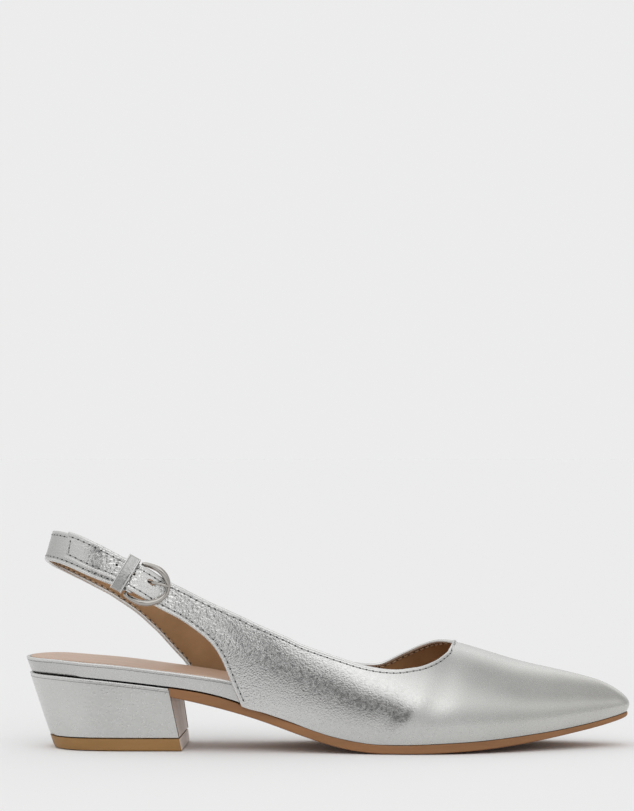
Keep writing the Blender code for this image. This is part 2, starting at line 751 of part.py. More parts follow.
sole_places = stations(HEEL_RUN, FRONT.x, 38, end_round=True)
sole_rings = []
for outset, height in (
    (welt(0.0022), underside), (welt(0.0005), raised(underside, 0.0002)), (welt(0.0), raised(underside, 0.0007)),
    (welt(0.0), raised(feather_height, -0.0004)), (welt(0.0004), feather_height),
):
    ring = board_ring(sole_places, outset, height)
    for side in ring:
        side[0].x = breast(side[0].y, side[0].z) + GAP
        side[0].z = height(side[0].x / LENGTH)
    sole_rings.append(ring)
stack("outsole", sole_rings, sole_leather)

heel_steps = stations(0.0, 1.0, 16, start_round=True)


def heel_top(drop):
    return lambda step: feather_height(step * HEEL_RUN / LENGTH) - drop


stack(
    "heel",
    [
        heel_ring(heel_steps, lambda step: LIFT_TOP, 0.0003),
        heel_ring(heel_steps, lambda step: LIFT_TOP + 0.0003, 0.0),
        heel_ring(heel_steps, lambda step: 0.5 * (LIFT_TOP + heel_top(0.0)(step)), 0.0),
        heel_ring(heel_steps, heel_top(0.0009), 0.0),
        heel_ring(heel_steps, heel_top(0.0003), 0.0002),
        heel_ring(heel_steps, heel_top(0.0), 0.0009),
    ],
    heel_silver,
)
stack(
    "top_lift",
    [
        heel_ring(heel_steps, lambda step: 0.0, 0.0006),
        heel_ring(heel_steps, lambda step: 0.0005, 0.0),
        heel_ring(heel_steps, lambda step: LIFT_TOP - GAP, 0.0),
    ],
    lift_tan,
)


def frame_lift(a):
    """The frame's height over the form: it rises from the bar, and its curved end rests on the tongue."""
    share = a / BUCKLE_LENGTH
    return BAR_DEPTH + FRAME_RISE * ease(share / 0.59) - FRAME_DIP * ease((share - 0.72) / 0.27)


# Half of the frame's wire, as shares of its length and of its half width. Columns: along, across.
HALF_FRAME = (
    (0.0, 0.905), (0.08, 0.96), (0.20, 0.99), (0.33, 1.0), (0.46, 0.985), (0.59, 0.92), (0.72, 0.81),
    (0.83, 0.655), (0.91, 0.49), (0.967, 0.285), (1.0, 0.095),
)
half_frame = [(a * BUCKLE_LENGTH, p * BUCKLE_HALF_WIDTH) for a, p in HALF_FRAME]


def frame_middle(a):
    """The frame's middle line strays a little up the strap towards its curved end."""
    return GAP + 0.1 * a


frame_line = [at_buckle(a, frame_middle(a) + p, frame_lift(a)) for a, p in half_frame]
frame_line += [at_buckle(a, frame_middle(a) - p, frame_lift(a)) for a, p in half_frame[::-1]]
frame_line += [at_buckle(0.0, share * BUCKLE_HALF_WIDTH, BAR_DEPTH) for share in (-0.74, -0.25, 0.25, 0.76)]
frame_scales = [1.0] * (2 * len(half_frame)) + [BAR_RADIUS / WIRE_RADIUS] * 4
tube("buckle_frame", frame_line, WIRE_RADIUS, polished, closed=True, scales=frame_scales)


def prong_across(a):
    """The prong starts in the fold's slot and crosses to the frame's middle."""
    return SLOT_MIDDLE + 0.29 * max(a - EYE_RADIUS, 0.0)


prong_line = []
for angle in (40, 70, 100, 130, 160, 190, 220, 250, 275):
    a = EYE_RADIUS * math.cos(math.radians(angle))
    n = BAR_DEPTH + EYE_RADIUS * math.sin(math.radians(angle))
    prong_line.append(at_buckle(a, SLOT_MIDDLE, n))
# From under the tongue, through its hole and over it to the frame.
# Columns: along from the bar as a share of BUCKLE_LENGTH, height over the form as a share of PRONG_RISE.
PRONG_PATH = (
    (0.080, -0.53), (0.171, -0.36), (0.263, -0.17), (0.342, -0.03), (0.414, 0.14), (0.487, 0.39),
    (0.566, 0.61), (0.651, 0.81), (0.743, 0.94), (0.836, 0.995), (0.921, 0.97), (0.974, 0.92),
)
for along_share, height_share in PRONG_PATH:
    a = along_share * BUCKLE_LENGTH
    prong_line.append(at_buckle(a, prong_across(a), height_share * PRONG_RISE))
prong_scales = [0.75] * 10 + [0.9] + [1.0] * 8 + [0.95, 0.6]
tube("buckle_prong", prong_line, PRONG_RADIUS, prong_metal, scales=prong_scales)


def cutter(name, loop_a, loop_b):
    count = len(loop_a)
    faces = [[i, (i + 1) % count, count + (i + 1) % count, count + i] for i in range(count)]
    faces += [list(range(count)), list(range(count, 2 * count))]
    mesh = mesh_from(name, list(loop_a) + list(loop_b), faces, shading=False)
    work = bmesh.new()
    work.from_mesh(mesh)
    bmesh.ops.triangulate(work, faces=work.faces)
    work.to_mesh(mesh)
    work.free()
    made = add_object(name, mesh, silver)
    SHOE.objects.unlink(made)
    CUTTERS.objects.link(made)
    made.hide_render = True
    made.display_type = "WIRE"
    cut = bpy.data.objects["upper"].modifiers.new(name, "BOOLEAN")
    cut.operation = "DIFFERENCE"
    cut.solver = "EXACT"
    cut.object = made


hole_loops = []
for n in (-WALL, 3 * WALL):
    loop = []
    for k in range(12):
        turn = math.radians(30 * k)
        a = HOLE_PLACE + 0.5 * HOLE_LENGTH * math.cos(turn)
        p = prong_across(HOLE_PLACE) + 0.5 * HOLE_WIDTH * math.sin(turn)
        loop.append(at_buckle(a, p, n))
    hole_loops.append(loop)
cutter("prong_hole", *hole_loops)

keeper_columns = []
for a in (KEEPER_BACK, KEEPER_FRONT):
    lift = BAR_LIFT * ease(1 + a / LIFT_RUN)
    low = lift - WALL - GAP - KEEPER_WALL + KEEPER_CORNER
    high = lift + WALL + 2 * GAP + KEEPER_WALL - KEEPER_CORNER
    half = KEEPER_HALF_WIDTH - KEEPER_CORNER
    outline = []
    far, near = GAP + half, GAP - half
    for p, n, start in ((far, high, 90), (far, low, 0), (near, low, -90), (near, high, 180)):
        for turn in (0, 30, 60, 90):
            angle = math.radians(start - turn)
            outline.append((p + KEEPER_CORNER * math.cos(angle), n + KEEPER_CORNER * math.sin(angle)))
    keeper_columns.append([at_buckle(a, p, n) for p, n in outline])
keeper_vertices = keeper_columns[0] + keeper_columns[1]
turns = len(keeper_columns[0])
keeper_faces = [[i, (i + 1) % turns, turns + (i + 1) % turns, turns + i] for i in range(turns)]
keeper = add_object("keeper", mesh_from("keeper", keeper_vertices, keeper_faces), keeper_silver)
centre = sum((vertex.co for vertex in keeper.data.vertices), Vector()) / (2 * turns)
if (keeper.data.polygons[0].center - centre).dot(keeper.data.polygons[0].normal) < 0:
    keeper.data.flip_normals()
keeper_wall = keeper.modifiers.new("wall", "SOLIDIFY")
keeper_wall.thickness = KEEPER_WALL
keeper_wall.offset = -1
keeper_wall.use_even_offset = True

for made in list(SHOE.objects) + list(CUTTERS.objects):
    made.location.x = -LIFT_MIDDLE
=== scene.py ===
"""The slingback pump's looks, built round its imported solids. Metres, in the solids' own frame."""

from contextlib import contextmanager
from math import asin, atan, cos, degrees, exp, hypot, pi, radians, sin

import bmesh
import bpy
from mathutils import Matrix, Vector
from mathutils.bvhtree import BVHTree


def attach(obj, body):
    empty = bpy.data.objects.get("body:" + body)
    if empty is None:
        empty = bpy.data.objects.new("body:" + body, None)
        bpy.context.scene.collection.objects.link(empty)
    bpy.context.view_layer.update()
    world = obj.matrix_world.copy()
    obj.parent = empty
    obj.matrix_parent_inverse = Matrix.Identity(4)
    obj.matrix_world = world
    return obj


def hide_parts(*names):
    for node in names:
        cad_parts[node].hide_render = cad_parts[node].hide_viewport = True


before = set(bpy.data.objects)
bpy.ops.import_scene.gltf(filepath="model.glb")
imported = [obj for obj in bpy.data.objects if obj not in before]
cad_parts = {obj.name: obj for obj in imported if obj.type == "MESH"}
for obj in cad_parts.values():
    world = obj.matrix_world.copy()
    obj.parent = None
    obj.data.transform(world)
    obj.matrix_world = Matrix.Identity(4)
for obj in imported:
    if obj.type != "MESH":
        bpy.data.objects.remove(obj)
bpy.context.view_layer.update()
SCENE = bpy.context.scene

# LENGTH is the whole shoe's, BALL the width of the foot's form there. The others are heights over the floor:
# of the board at the heel, of the form's crest at the throat and of the strap at the back.
LENGTH = 0.2705
BALL = 0.0750
SEAT = 0.0407
THROAT = 0.0477
COLLAR = 0.0965
WALL = 0.0015
GAP = 0.0003
OUTER = -1
INNER = 1

# The upper stands out from the board by FEATHER_STEP, and its wall bulges by up to BULGE.
FEATHER_STEP = 0.0019
BULGE = 0.0020

# The board's outline from above, from the heel's back along the outer side and back along the inner one.
# Columns: along as a share of LENGTH, across as a share of BALL.
BOARD = (
    (0.0, 0.0), (0.006, -0.115), (0.022, -0.219), (0.052, -0.296), (0.096, -0.334), (0.166, -0.347),
    (0.259, -0.347), (0.359, -0.361), (0.458, -0.408), (0.555, -0.467), (0.636, -0.497), (0.71, -0.471),
    (0.784, -0.384), (0.858, -0.251), (0.924, -0.115), (0.965, -0.024), (0.983, 0.022), (0.989, 0.073),
    (0.983, 0.124), (0.965, 0.16), (0.924, 0.224), (0.858, 0.317), (0.784, 0.403), (0.725, 0.444),
    (0.673, 0.453), (0.61, 0.421), (0.536, 0.353), (0.451, 0.291), (0.359, 0.271), (0.259, 0.3),
    (0.166, 0.328), (0.096, 0.325), (0.052, 0.291), (0.022, 0.217), (0.006, 0.113),
)

# The line where the outsole or heel ends and the upper or rim starts. Columns: along, height (share of SEAT).
FEATHER = (
    (0.0, 0.822), (0.044, 0.813), (0.095, 0.786), (0.16, 0.745), (0.225, 0.696), (0.26, 0.667),
    (0.29, 0.635), (0.323, 0.585), (0.352, 0.526), (0.372, 0.476), (0.404, 0.403), (0.437, 0.331),
    (0.469, 0.252), (0.502, 0.184), (0.534, 0.138), (0.566, 0.106), (0.614, 0.098), (0.679, 0.11),
    (0.744, 0.13), (0.811, 0.167), (0.878, 0.216), (0.913, 0.251), (0.947, 0.292), (0.982, 0.346),
    (1.0, 0.38),
)

# Crest of the foot's form. Columns: along, height (share of THROAT), across (share of BALL).
CREST = (
    (0.133, 3.14, 0.0), (0.185, 2.96, 0.004), (0.26, 2.62, 0.008), (0.314, 2.37, 0.013),
    (0.37, 2.12, 0.018), (0.425, 1.89, 0.024), (0.48, 1.68, 0.03), (0.536, 1.49, 0.038), (0.59, 1.3, 0.046),
    (0.647, 1.12, 0.052), (0.695, 1.0, 0.059), (0.713, 0.969, 0.064), (0.735, 0.933, 0.07),
    (0.768, 0.876, 0.08), (0.801, 0.818, 0.087), (0.835, 0.768, 0.091), (0.868, 0.727, 0.093),
    (0.901, 0.684, 0.093), (0.935, 0.634, 0.093), (0.96, 0.59, 0.09),
)

# Columns: along, exponent of the section's arch, bulge of the wall as a share of BULGE.
FULLNESS = (
    (0.0, 2.0, 0.4), (0.36, 2.0, 0.5), (0.55, 2.0, 0.8), (0.7, 2.12, 1.0), (0.83, 2.3, 0.8),
    (1.0, 2.6, 0.75),
)

# Outer quarter with its tongue, from the tongue's end to the corner at the feather line.
# Columns: upper edge along, its height; lower edge along, its height (shares of LENGTH and COLLAR).
OUTER_BAND = (
    (0.0717, 0.997, 0.0717, 0.884), (0.0925, 0.982, 0.087, 0.869), (0.1113, 0.961, 0.1005, 0.851),
    (0.1275, 0.939, 0.1131, 0.835), (0.148, 0.909, 0.1305, 0.812), (0.1715, 0.874, 0.1523, 0.785),
    (0.1945, 0.845, 0.173, 0.745), (0.2126, 0.818, 0.1896, 0.718), (0.2292, 0.791, 0.2033, 0.694),
    (0.244, 0.768, 0.2163, 0.67), (0.2625, 0.743, 0.2348, 0.642), (0.2847, 0.711, 0.2569, 0.61),
    (0.3087, 0.678, 0.2791, 0.568), (0.3346, 0.645, 0.3, 0.522), (0.3586, 0.615, 0.315, 0.476),
    (0.3808, 0.585, 0.3266, 0.422), (0.4011, 0.56, 0.3358, 0.362), (0.4177, 0.54, 0.3446, 0.3),
)
OUTER_CORNER = 0.3586
# The outer quarter's corner hangs over the board's edge by CORNER_DROP, and is level with it at CORNER_END.
CORNER_DROP = 0.0009
CORNER_END = 0.40
OUTER_TOPLINE_START = (0.4325, 0.523)

# Topline from the outer quarter to the throat's front. Columns: along, height as a share of the way from the
# feather line to the crest.
OUTER_TOPLINE = (
    (0.4529, 0.489), (0.4843, 0.506), (0.5176, 0.52), (0.5508, 0.533), (0.5834, 0.559), (0.601, 0.58),
    (0.6159, 0.605), (0.6322, 0.644), (0.6484, 0.684), (0.6647, 0.742), (0.681, 0.817), (0.6972, 0.913),
    (0.705, 0.975), (0.7079, 1.0),
)
INNER_TOPLINE = (
    (0.4436, 0.414), (0.499, 0.44), (0.536, 0.458), (0.5619, 0.484), (0.586, 0.526), (0.6026, 0.582),
    (0.62, 0.658), (0.6366, 0.733), (0.6532, 0.814), (0.6691, 0.889), (0.6858, 0.957), (0.7, 0.99),
    (0.7079, 1.0),
)

# Inner quarter and the strap round the heel. Columns as in OUTER_BAND, but along is measured round the
# heel's bend: it falls to HEEL_CENTRE at the middle of the back.
INNER_BAND = (
    (0.3475, 0.563, 0.2699, 0.324), (0.3253, 0.59, 0.2595, 0.372), (0.2994, 0.627, 0.2447, 0.417),
    (0.2773, 0.662, 0.2311, 0.459), (0.2551, 0.698, 0.2159, 0.506), (0.2329, 0.738, 0.1996, 0.549),
    (0.2126, 0.779, 0.183, 0.591), (0.1922, 0.814, 0.1664, 0.626), (0.1701, 0.844, 0.1479, 0.66),
    (0.15, 0.868, 0.132, 0.69), (0.1294, 0.893, 0.1146, 0.722), (0.1072, 0.917, 0.0943, 0.756),
    (0.085, 0.937, 0.0739, 0.785), (0.061, 0.956, 0.0536, 0.81), (0.037, 0.974, 0.0314, 0.832),
    (0.0111, 0.988, 0.0085, 0.852), (-0.0148, 0.997, -0.0148, 0.866),
)
HEEL_STRAP = (
    (0.0111, 1.0, 0.0085, 0.87), (0.037, 1.0, 0.0314, 0.868), (0.061, 0.994, 0.0536, 0.862),
    (0.0813, 0.982, 0.0721, 0.85), (0.1035, 0.962, 0.0906, 0.832), (0.1257, 0.935, 0.1091, 0.809),
    (0.1457, 0.906, 0.1265, 0.787),
)
INNER_CORNER = 0.2810
INNER_TOPLINE_START = (0.3697, 0.535)
HEEL_BEND = 0.133 * LENGTH
HEEL_CENTRE = -0.0148 * LENGTH
# The strap's back is at STRAP_BACK where its height is STRAP_MIDDLE, and leans forward above that.
STRAP_BACK = 0.0296 * LENGTH
STRAP_MIDDLE = 0.865 * COLLAR
STRAP_LEAN = 0.288
THROAT_X = 0.7079 * LENGTH
CREST_END = 0.939 * LENGTH
# A turn of one radian counts as this far where points are spaced along a line.
TURN_REACH = 0.05
# The upper's sheet: faces from edge to edge, the rows that the fold's slot takes, the columns of a quarter
# and of half the vamp, and the columns to each row of a band's table.
ROWS = 30
SLOT_ROWS = range(15, 21)
QUARTER_COLUMNS = 60
VAMP_COLUMNS = 48
BAND_COLUMNS = 4

# The buckle's bar crosses the strap here, and the strap runs down and forward from it.
BAR_X = 0.183 * LENGTH
BAR_Z = 0.7845 * COLLAR
STRAP_SLOPE = atan(1.684 * COLLAR / LENGTH)
BAR_RADIUS = 0.0007
WIRE_RADIUS = 0.00095
FOLD_RADIUS = 0.0025
BAR_DEPTH = -0.0006
BAR_LIFT = BAR_DEPTH + FOLD_RADIUS
LIFT_RUN = 0.008
BUCKLE_LENGTH = 0.0152
BUCKLE_HALF_WIDTH = 0.0084
FRAME_RISE = 0.0026
FRAME_DIP = 0.0004
FOLD_HALF_WIDTH = 0.0059
SLOT_MIDDLE = FOLD_HALF_WIDTH * 0.2
PRONG_RADIUS = 0.0006
PRONG_RISE = 0.0036
EYE_RADIUS = 0.0014
# The tongue's hole is an oval round the prong. Its spare holes are round, at an x and a z.
HOLE_PLACE = 0.47 * BUCKLE_LENGTH
HOLE_LENGTH = 0.0038
HOLE_WIDTH = 0.0020
SPARE_HOLES = ((0.0420, 0.0823), (0.0497, 0.0783))
SPARE_HOLE_RADIUS = 0.00055
SPARE_HOLE_SIDES = 18
# A dark disc of painted shade sits this far over each spare hole's inner end.
SPARE_SHADE_RISE = 0.0003
KEEPER_BACK = -0.0070
KEEPER_FRONT = -0.0021
KEEPER_WALL = 0.0012
KEEPER_HALF_WIDTH = 0.0084
KEEPER_CORNER = 0.0011
KEEPER_BOW = 0.0008
KEEPER_EDGE_RADIUS = 0.00035

# How much stouter the wires are than the solids': the frame's all round, more on its sides, and the prong's.
WIRE_SHARE = 1.1
SIDE_SHARE = 0.35
PRONG_SHARE = 1.2

# How far from the throat's tip the silver goes over the edge, and how wide. The seams stop before the tip.
TIP_REACH = 0.020
TIP_EDGE = 0.0030
SEAM_STOP = 0.0012

# Seams: their insets, the stitches' pitch and lengths, and the threads' radii.
SEAM_INSET = 0.0017
TONGUE_END_INSET = 0.0020
STITCH_PITCH = 0.0030
STITCH_LENGTH = 0.0020
LINING_STITCH_LENGTH = 0.0021
THREAD_RADIUS = 0.00023
LINING_THREAD_RADIUS = 0.00018
# The upper's folded edge is a bead along its wall.
BEAD_INSET = 0.0005
BEAD_RADIUS = 0.00085

# The rolled edges of rim and heel, a dark line of painted shade for the groove under each, and brown lines of
# painted shade down the heel's front corners.
RIM_SHOWN = 0.058
RIM_ROLL_DROP = 0.0004
RIM_ROLL_SUNK = 0.0002
HEEL_ROLL_DROP = 0.0001
HEEL_ROLL_SUNK = 0.0003
ROLL_RADIUS = 0.0005
GROOVE_DROP = 0.0014
GROOVE_SUNK = 0.00004
GROOVE_RADIUS = 0.00011
CORNER_LINE_OUT = 0.0001
CORNER_LINE_RADIUS = 0.00018

# Points of a solid that are this close are one point.
WELD = 5e-6

# Looks: how metallic the silver leather is, and the pores of the plain leathers.
LEATHER_METALLIC = 0.92
PORE_SIZE = 0.0006
PORE_DEPTH = 0.00005

# Floor, sky and camera. The focal length and the photo's height are in pixels.
FLOOR_LEVEL = 0.905
BACKGROUND_LEVEL = 0.84
SKY_LEVEL = 0.62
SKY_LEAST = 0.03
FOCAL_PIXELS = 3350
PHOTO_PIXELS = 811
SENSOR = 36
CAMERA_ALONG = 0.130
CAMERA_AWAY = 1.5
CAMERA_HEIGHT = 0.1524

# The origin is under the middle of the top lift.
LIFT_MIDDLE = 0.155 * LENGTH
SHIFT = Vector((-LIFT_MIDDLE, 0.0, 0.0))


def weights(t):
    """A cubic's weights at t: of its first value and slope, and of its last value and slope."""
    return 2 * t**3 - 3 * t**2 + 1, t**3 - 2 * t**2 + t, 3 * t**2 - 2 * t**3, t**3 - t**2


def smooth(table, column, share=1.0):
    """A curve through one column of a table, by the table's first column."""
    xs = [row[0] for row in table]
    ys = [row[column] for row in table]
    steps = [(ys[i + 1] - ys[i]) / (xs[i + 1] - xs[i]) for i in range(len(xs) - 1)]
    slopes = [steps[0]]
    for i in range(1, len(xs) - 1):
        before = xs[i] - xs[i - 1]
        after = xs[i + 1] - xs[i]
        slopes.append((steps[i] * before + steps[i - 1] * after) / (before + after))
    slopes.append(steps[-1])

    def at(x):
        if x <= xs[0]:
            return share * (ys[0] + slopes[0] * (x - xs[0]))
        if x >= xs[-1]:
            return share * (ys[-1] + slopes[-1] * (x - xs[-1]))
        i = max(k for k in range(len(xs) - 1) if xs[k] <= x)
        width = xs[i + 1] - xs[i]
        w = weights((x - xs[i]) / width)
        a = w[0] * ys[i] + w[1] * width * slopes[i]
        b = w[2] * ys[i + 1] + w[3] * width * slopes[i + 1]
        return share * (a + b)

    return at


def spline(points, closed=False, fine=12):
    """A smooth line through points of any number of coordinates, as a list of Vectors."""
    count = len(points)
    points = [Vector(p) for p in points]

    def tangent(i):
        if closed:
            before, after = points[i - 1], points[(i + 1) % count]
        else:
            before, after = points[max(i - 1, 0)], points[min(i + 1, count - 1)]
        reach = (points[i] - before).length + (after - points[i]).length
        return (after - before) / reach

    line = []
    for i in range(count if closed else count - 1):
        a, b = points[i], points[(i + 1) % count]
        chord = (b - a).length
        ta, tb = tangent(i) * chord, tangent((i + 1) % count) * chord
        for k in range(fine):
            w = weights(k / fine)
            line.append(a * w[0] + ta * w[1] + b * w[2] + tb * w[3])
    if not closed:
        line.append(points[-1])
    return line


def reaches(points):
    """How far along a line each of its points is."""
    found = [0.0]
    for a, b in zip(points, points[1:]):
        found.append(found[-1] + (b - a).length)
    return found


def ring_faces(rings, sides, start=0):
    """Faces between rings of points that follow each other."""
    starts = range(start, start + (rings - 1) * sides, sides)
    pairs = [(base + i, base + (i + 1) % sides) for base in starts for i in range(sides)]
    return [[a, b, b + sides, a + sides] for a, b in pairs]


BOARD_LINE = spline([(x * LENGTH, y * BALL) for x, y in BOARD], closed=True, fine=16)


def stood_off(distance):
    """The board's outline moved outwards by a distance."""
    moved = []
    count = len(BOARD_LINE)
    for i, point in enumerate(BOARD_LINE):
        along = BOARD_LINE[(i + 1) % count] - BOARD_LINE[i - 1]
        moved.append(point + Vector((along.y, -along.x)).normalized() * distance)
    return moved


def edge_of(line):
    """From a closed outline: its front end, and a function that gives its point at an x on either side."""
    count = len(line)
    back = min(range(count), key=lambda i: line[i].x)
    front = max(range(count), key=lambda i: line[i].x)
    outer = [line[i % count] for i in range(back, back + (front - back) % count + 1)]
    inner = [line[i % count] for i in range(front, front + (back - front) % count + 1)][::-1]

    def at(x, side):
        part = outer if side == OUTER else inner
        for a, b in zip(part, part[1:]):
            if a.x <= x <= b.x:
                t = (x - a.x) / max(b.x - a.x, 1e-9)
                return a.lerp(b, t)
        return part[0] if x < part[0].x else part[-1]

    return line[front], at


feather_height = smooth(FEATHER, 1, SEAT)
crest_height = smooth(CREST, 1, THROAT)
crest_across = smooth(CREST, 2, BALL)
arch_power = smooth(FULLNESS, 1)
wall_bulge = smooth(FULLNESS, 2, BULGE)
UPPER_TIP, upper_edge = edge_of(stood_off(FEATHER_STEP))


def ease(t):
    """0 up to t = 0 and 1 from t = 1, with a soft step between."""
    t = min(max(t, 0.0), 1.0)
    return t * t * (3 - 2 * t)


def foot_height(share, side):
    """Height of the upper's lower edge."""
    drop = CORNER_DROP * ease(10 * (CORNER_END - share) / CORNER_END) if side == OUTER else 0.0
    return feather_height(share) + GAP - drop


def band_turn(along, height, side):
    """The section's angle at which the foot's form reaches a height, at a place along."""
    share = max(along, HEEL_BEND) / LENGTH
    low, high = foot_height(share, side), crest_height(share)
    rise = min(max((height - low) / (high - low), 0.0), 1.0)
    return asin(rise ** (arch_power(share) / 2))


def rise_turn(along, rise):
    """The section's angle at which the foot's form reaches a share of its rise, at a place along."""
    return asin(min(rise, 1.0) ** (arch_power(along / LENGTH) / 2))


def form(along, turn, side):
    """A point of the foot's form, by the place along, the angle of its arch and the side."""
    x = max(along, HEEL_BEND)
    share = x / LENGTH
    power = 2 / arch_power(share)
    level = cos(turn) ** power if turn < pi / 2 else 0.0
    rise = sin(turn) ** power if turn > 0 else 0.0
    foot = upper_edge(x, side).y
    crest = crest_across(share)
    low = foot_height(share, side)
    y = crest + (foot - crest) * level + side * wall_bulge(share) * sin(pi * rise) * level
    z = low + (crest_height(share) - low) * rise
    if along < HEEL_BEND:
        bend = (HEEL_BEND - along) / (HEEL_BEND - HEEL_CENTRE) * pi / 2
        depth = HEEL_BEND - (STRAP_BACK + (z - STRAP_MIDDLE) * STRAP_LEAN)
        x = HEEL_BEND - depth * sin(bend)
        y *= cos(bend)
    return Vector((x, y, z))


def outward(along, turn, side):
    """The form's normal, away from the foot."""
    step, tilt = 0.0006, 0.01
    run = form(along + step, turn, side) - form(along - step, turn, side)
    climb = form(along, turn + tilt, side) - form(along, turn - tilt, side)
    normal = run.cross(climb).normalized()
    away = Vector((0.0, side, 0.0))
    if along <= HEEL_BEND:
        away = form(along, turn, side) - Vector((HEEL_BEND, 0.0, BAR_Z))
    return normal if normal.dot(away) > 0 else -normal


def at_buckle(a, p, n):
    """A point by the buckle's own directions: along the strap from the bar, across it, and off the form."""
    along = BAR_X + a * cos(STRAP_SLOPE) + p * sin(STRAP_SLOPE)
    height = BAR_Z - a * sin(STRAP_SLOPE) + p * cos(STRAP_SLOPE)
    turn = band_turn(along, height, OUTER)
    return form(along, turn, OUTER) + outward(along, turn, OUTER) * n


def from_bar(x, z):
    """How far down the strap a place is from the buckle's bar."""
    return (x - BAR_X) * cos(STRAP_SLOPE) - (z - BAR_Z) * sin(STRAP_SLOPE)


def tongue_lift(x, z):
    """How far the tongue's outer face stands off the form: over the strap, then over the bar, then down."""
    a = from_bar(x, z)
    if a < 0:
        return WALL + GAP + BAR_LIFT * ease(1 + a / LIFT_RUN)
    return (WALL + GAP + BAR_LIFT) * ease(1 - a / BUCKLE_LENGTH)


def strap_lift(x, z):
    """How far the strap stands off the form: it rises to the fold round the bar."""
    return BAR_LIFT * ease(1 + from_bar(x, z) / LIFT_RUN)


def spaced(points, count):
    """Points evenly spaced along a smooth line in (along, turn)."""
    line = spline(points, fine=10)
    lengths = reaches(line)
    picked = []
    for k in range(count + 1):
        goal = lengths[-1] * k / count
        i = max(j for j in range(len(lengths)) if lengths[j] <= goal + 1e-12)
        i = min(i, len(line) - 2)
        t = (goal - lengths[i]) / (lengths[i + 1] - lengths[i])
        picked.append(line[i].lerp(line[i + 1], min(max(t, 0.0), 1.0)))
    return picked


def column_on_form(low_along, low_turn, high_along, high_turn, side, lift=None):
    """Points from a low place on the form to a high one, stood off by a function of x and z."""
    column = []
    for row in range(ROWS + 1):
        t = row / ROWS
        along = low_along + (high_along - low_along) * t
        turn = low_turn + (high_turn - low_turn) * t
        point = form(along, turn, side)
        if lift:
            point += outward(along, turn, side) * lift(point.x, point.z)
        column.append(point)
    return column


def band_columns(table, side, lift=None):
    """Columns of a band, from its table and smooth lines between its rows."""
    rows = [(a * LENGTH, b * COLLAR, c * LENGTH, d * COLLAR) for a, b, c, d in table]
    columns = []
    for high_along, high, low_along, low in spline(rows, fine=BAND_COLUMNS):
        low_turn = band_turn(low_along, low, side)
        high_turn = band_turn(high_along, high, side)
        columns.append(column_on_form(low_along, low_turn, high_along, high_turn, side, lift))
    return columns


def quarter_columns(corner, start, topline, side):
    """Columns from the corner at the feather line to the throat's front."""
    first = (start[0] * LENGTH, band_turn(start[0] * LENGTH, start[1] * COLLAR, side) * TURN_REACH)
    line = [first] + [(x * LENGTH, rise_turn(x * LENGTH, g) * TURN_REACH) for x, g in topline]
    columns = []
    for k, top in enumerate(spaced(line, QUARTER_COLUMNS)):
        low = corner * LENGTH + (THROAT_X - corner * LENGTH) * k / QUARTER_COLUMNS
        columns.append(column_on_form(low, 0.0, top[0], top[1] / TURN_REACH, side))
    return columns


def vamp_columns(side):
    """Columns from the throat's front to the toe: they fan out round the toe from the end of the crest."""
    columns = []
    run = UPPER_TIP.x - THROAT_X
    first_slope = (CREST_END - THROAT_X) / run
    last_slope = 0.15
    for k in range(VAMP_COLUMNS + 1):
        s = k / VAMP_COLUMNS
        w = weights(s)
        f = w[1] * first_slope + w[2] + w[3] * last_slope
        foot_x = THROAT_X + run * f
        foot = upper_edge(foot_x, side) if k < VAMP_COLUMNS else UPPER_TIP
        crest_x = THROAT_X + (CREST_END - THROAT_X) * s
        share = crest_x / LENGTH
        crest = Vector((crest_x, crest_across(share)))
        slope = (crest_height(share + 0.01) - crest_height(share - 0.01)) / (0.02 * LENGTH)
        low = feather_height(foot.x / LENGTH) + GAP
        high = crest_height(share)
        full = crest_x / LENGTH + (1 - CREST_END / LENGTH) * s**2
        power = 2 / arch_power(full)
        bulge = wall_bulge(full)
        out = (foot - crest).normalized()
        column = []
        for row in range(ROWS + 1):
            turn = pi / 2 * row / ROWS
            level = cos(turn) ** power if row < ROWS else 0.0
            rise = sin(turn) ** power if row else 0.0
            spot = crest + (foot - crest) * level + out * bulge * sin(pi * rise) * level
            z = low + (high - low) * rise + slope * (spot.x - crest_x) * rise
            column.append(Vector((spot.x, spot.y, z)))
        columns.append(column)
    return columns


def fold_columns():
    """The strap's end, folded round the bar."""
    shares = [2 * row / ROWS - 1 for row in range(ROWS + 1)]
    columns = []
    for back, wider in ((0.69, 1.085), (0.38, 1.034), (0.15, 1.0)):
        lift = BAR_LIFT * ease(1 - back)
        half = FOLD_HALF_WIDTH * wider
        columns.append([at_buckle(-back * LIFT_RUN, half * share, lift) for share in shares])
    for angle in (90, 62, 34, 6, -22, -50, -78, -104):
        a = FOLD_RADIUS * cos(radians(angle))
        n = BAR_DEPTH + FOLD_RADIUS * sin(radians(angle))
        columns.append([at_buckle(a, FOLD_HALF_WIDTH * share, n) for share in shares])
    return columns


def sheet_faces(columns, slot_start):
    """Faces between the columns, left out where the fold's slot is."""
    faces = []
    for c in range(len(columns) - 1):
        for r in range(ROWS):
            if c >= slot_start and r in SLOT_ROWS:
                continue
            a = c * (ROWS + 1) + r
            faces.append([a, a + 1, a + ROWS + 2, a + ROWS + 1])
    return faces


def frame_lift(a):
    """The frame's height over the form: it rises from the bar, and its curved end rests on the tongue."""
    share = a / BUCKLE_LENGTH
    return BAR_DEPTH + FRAME_RISE * ease(share / 0.59) - FRAME_DIP * ease((share - 0.72) / 0.27)


# Half of the frame's wire, as shares of its length and of its half width. Columns: along, across.
HALF_FRAME = (
    (0.0, 0.905), (0.08, 0.96), (0.2, 0.99), (0.33, 1.0), (0.46, 0.985), (0.59, 0.92), (0.72, 0.81),
    (0.83, 0.655), (0.91, 0.49), (0.967, 0.285), (1.0, 0.095),
)


def frame_middle(a):
    """The frame's middle line strays a little up the strap towards its curved end."""
    return GAP + 0.1 * a


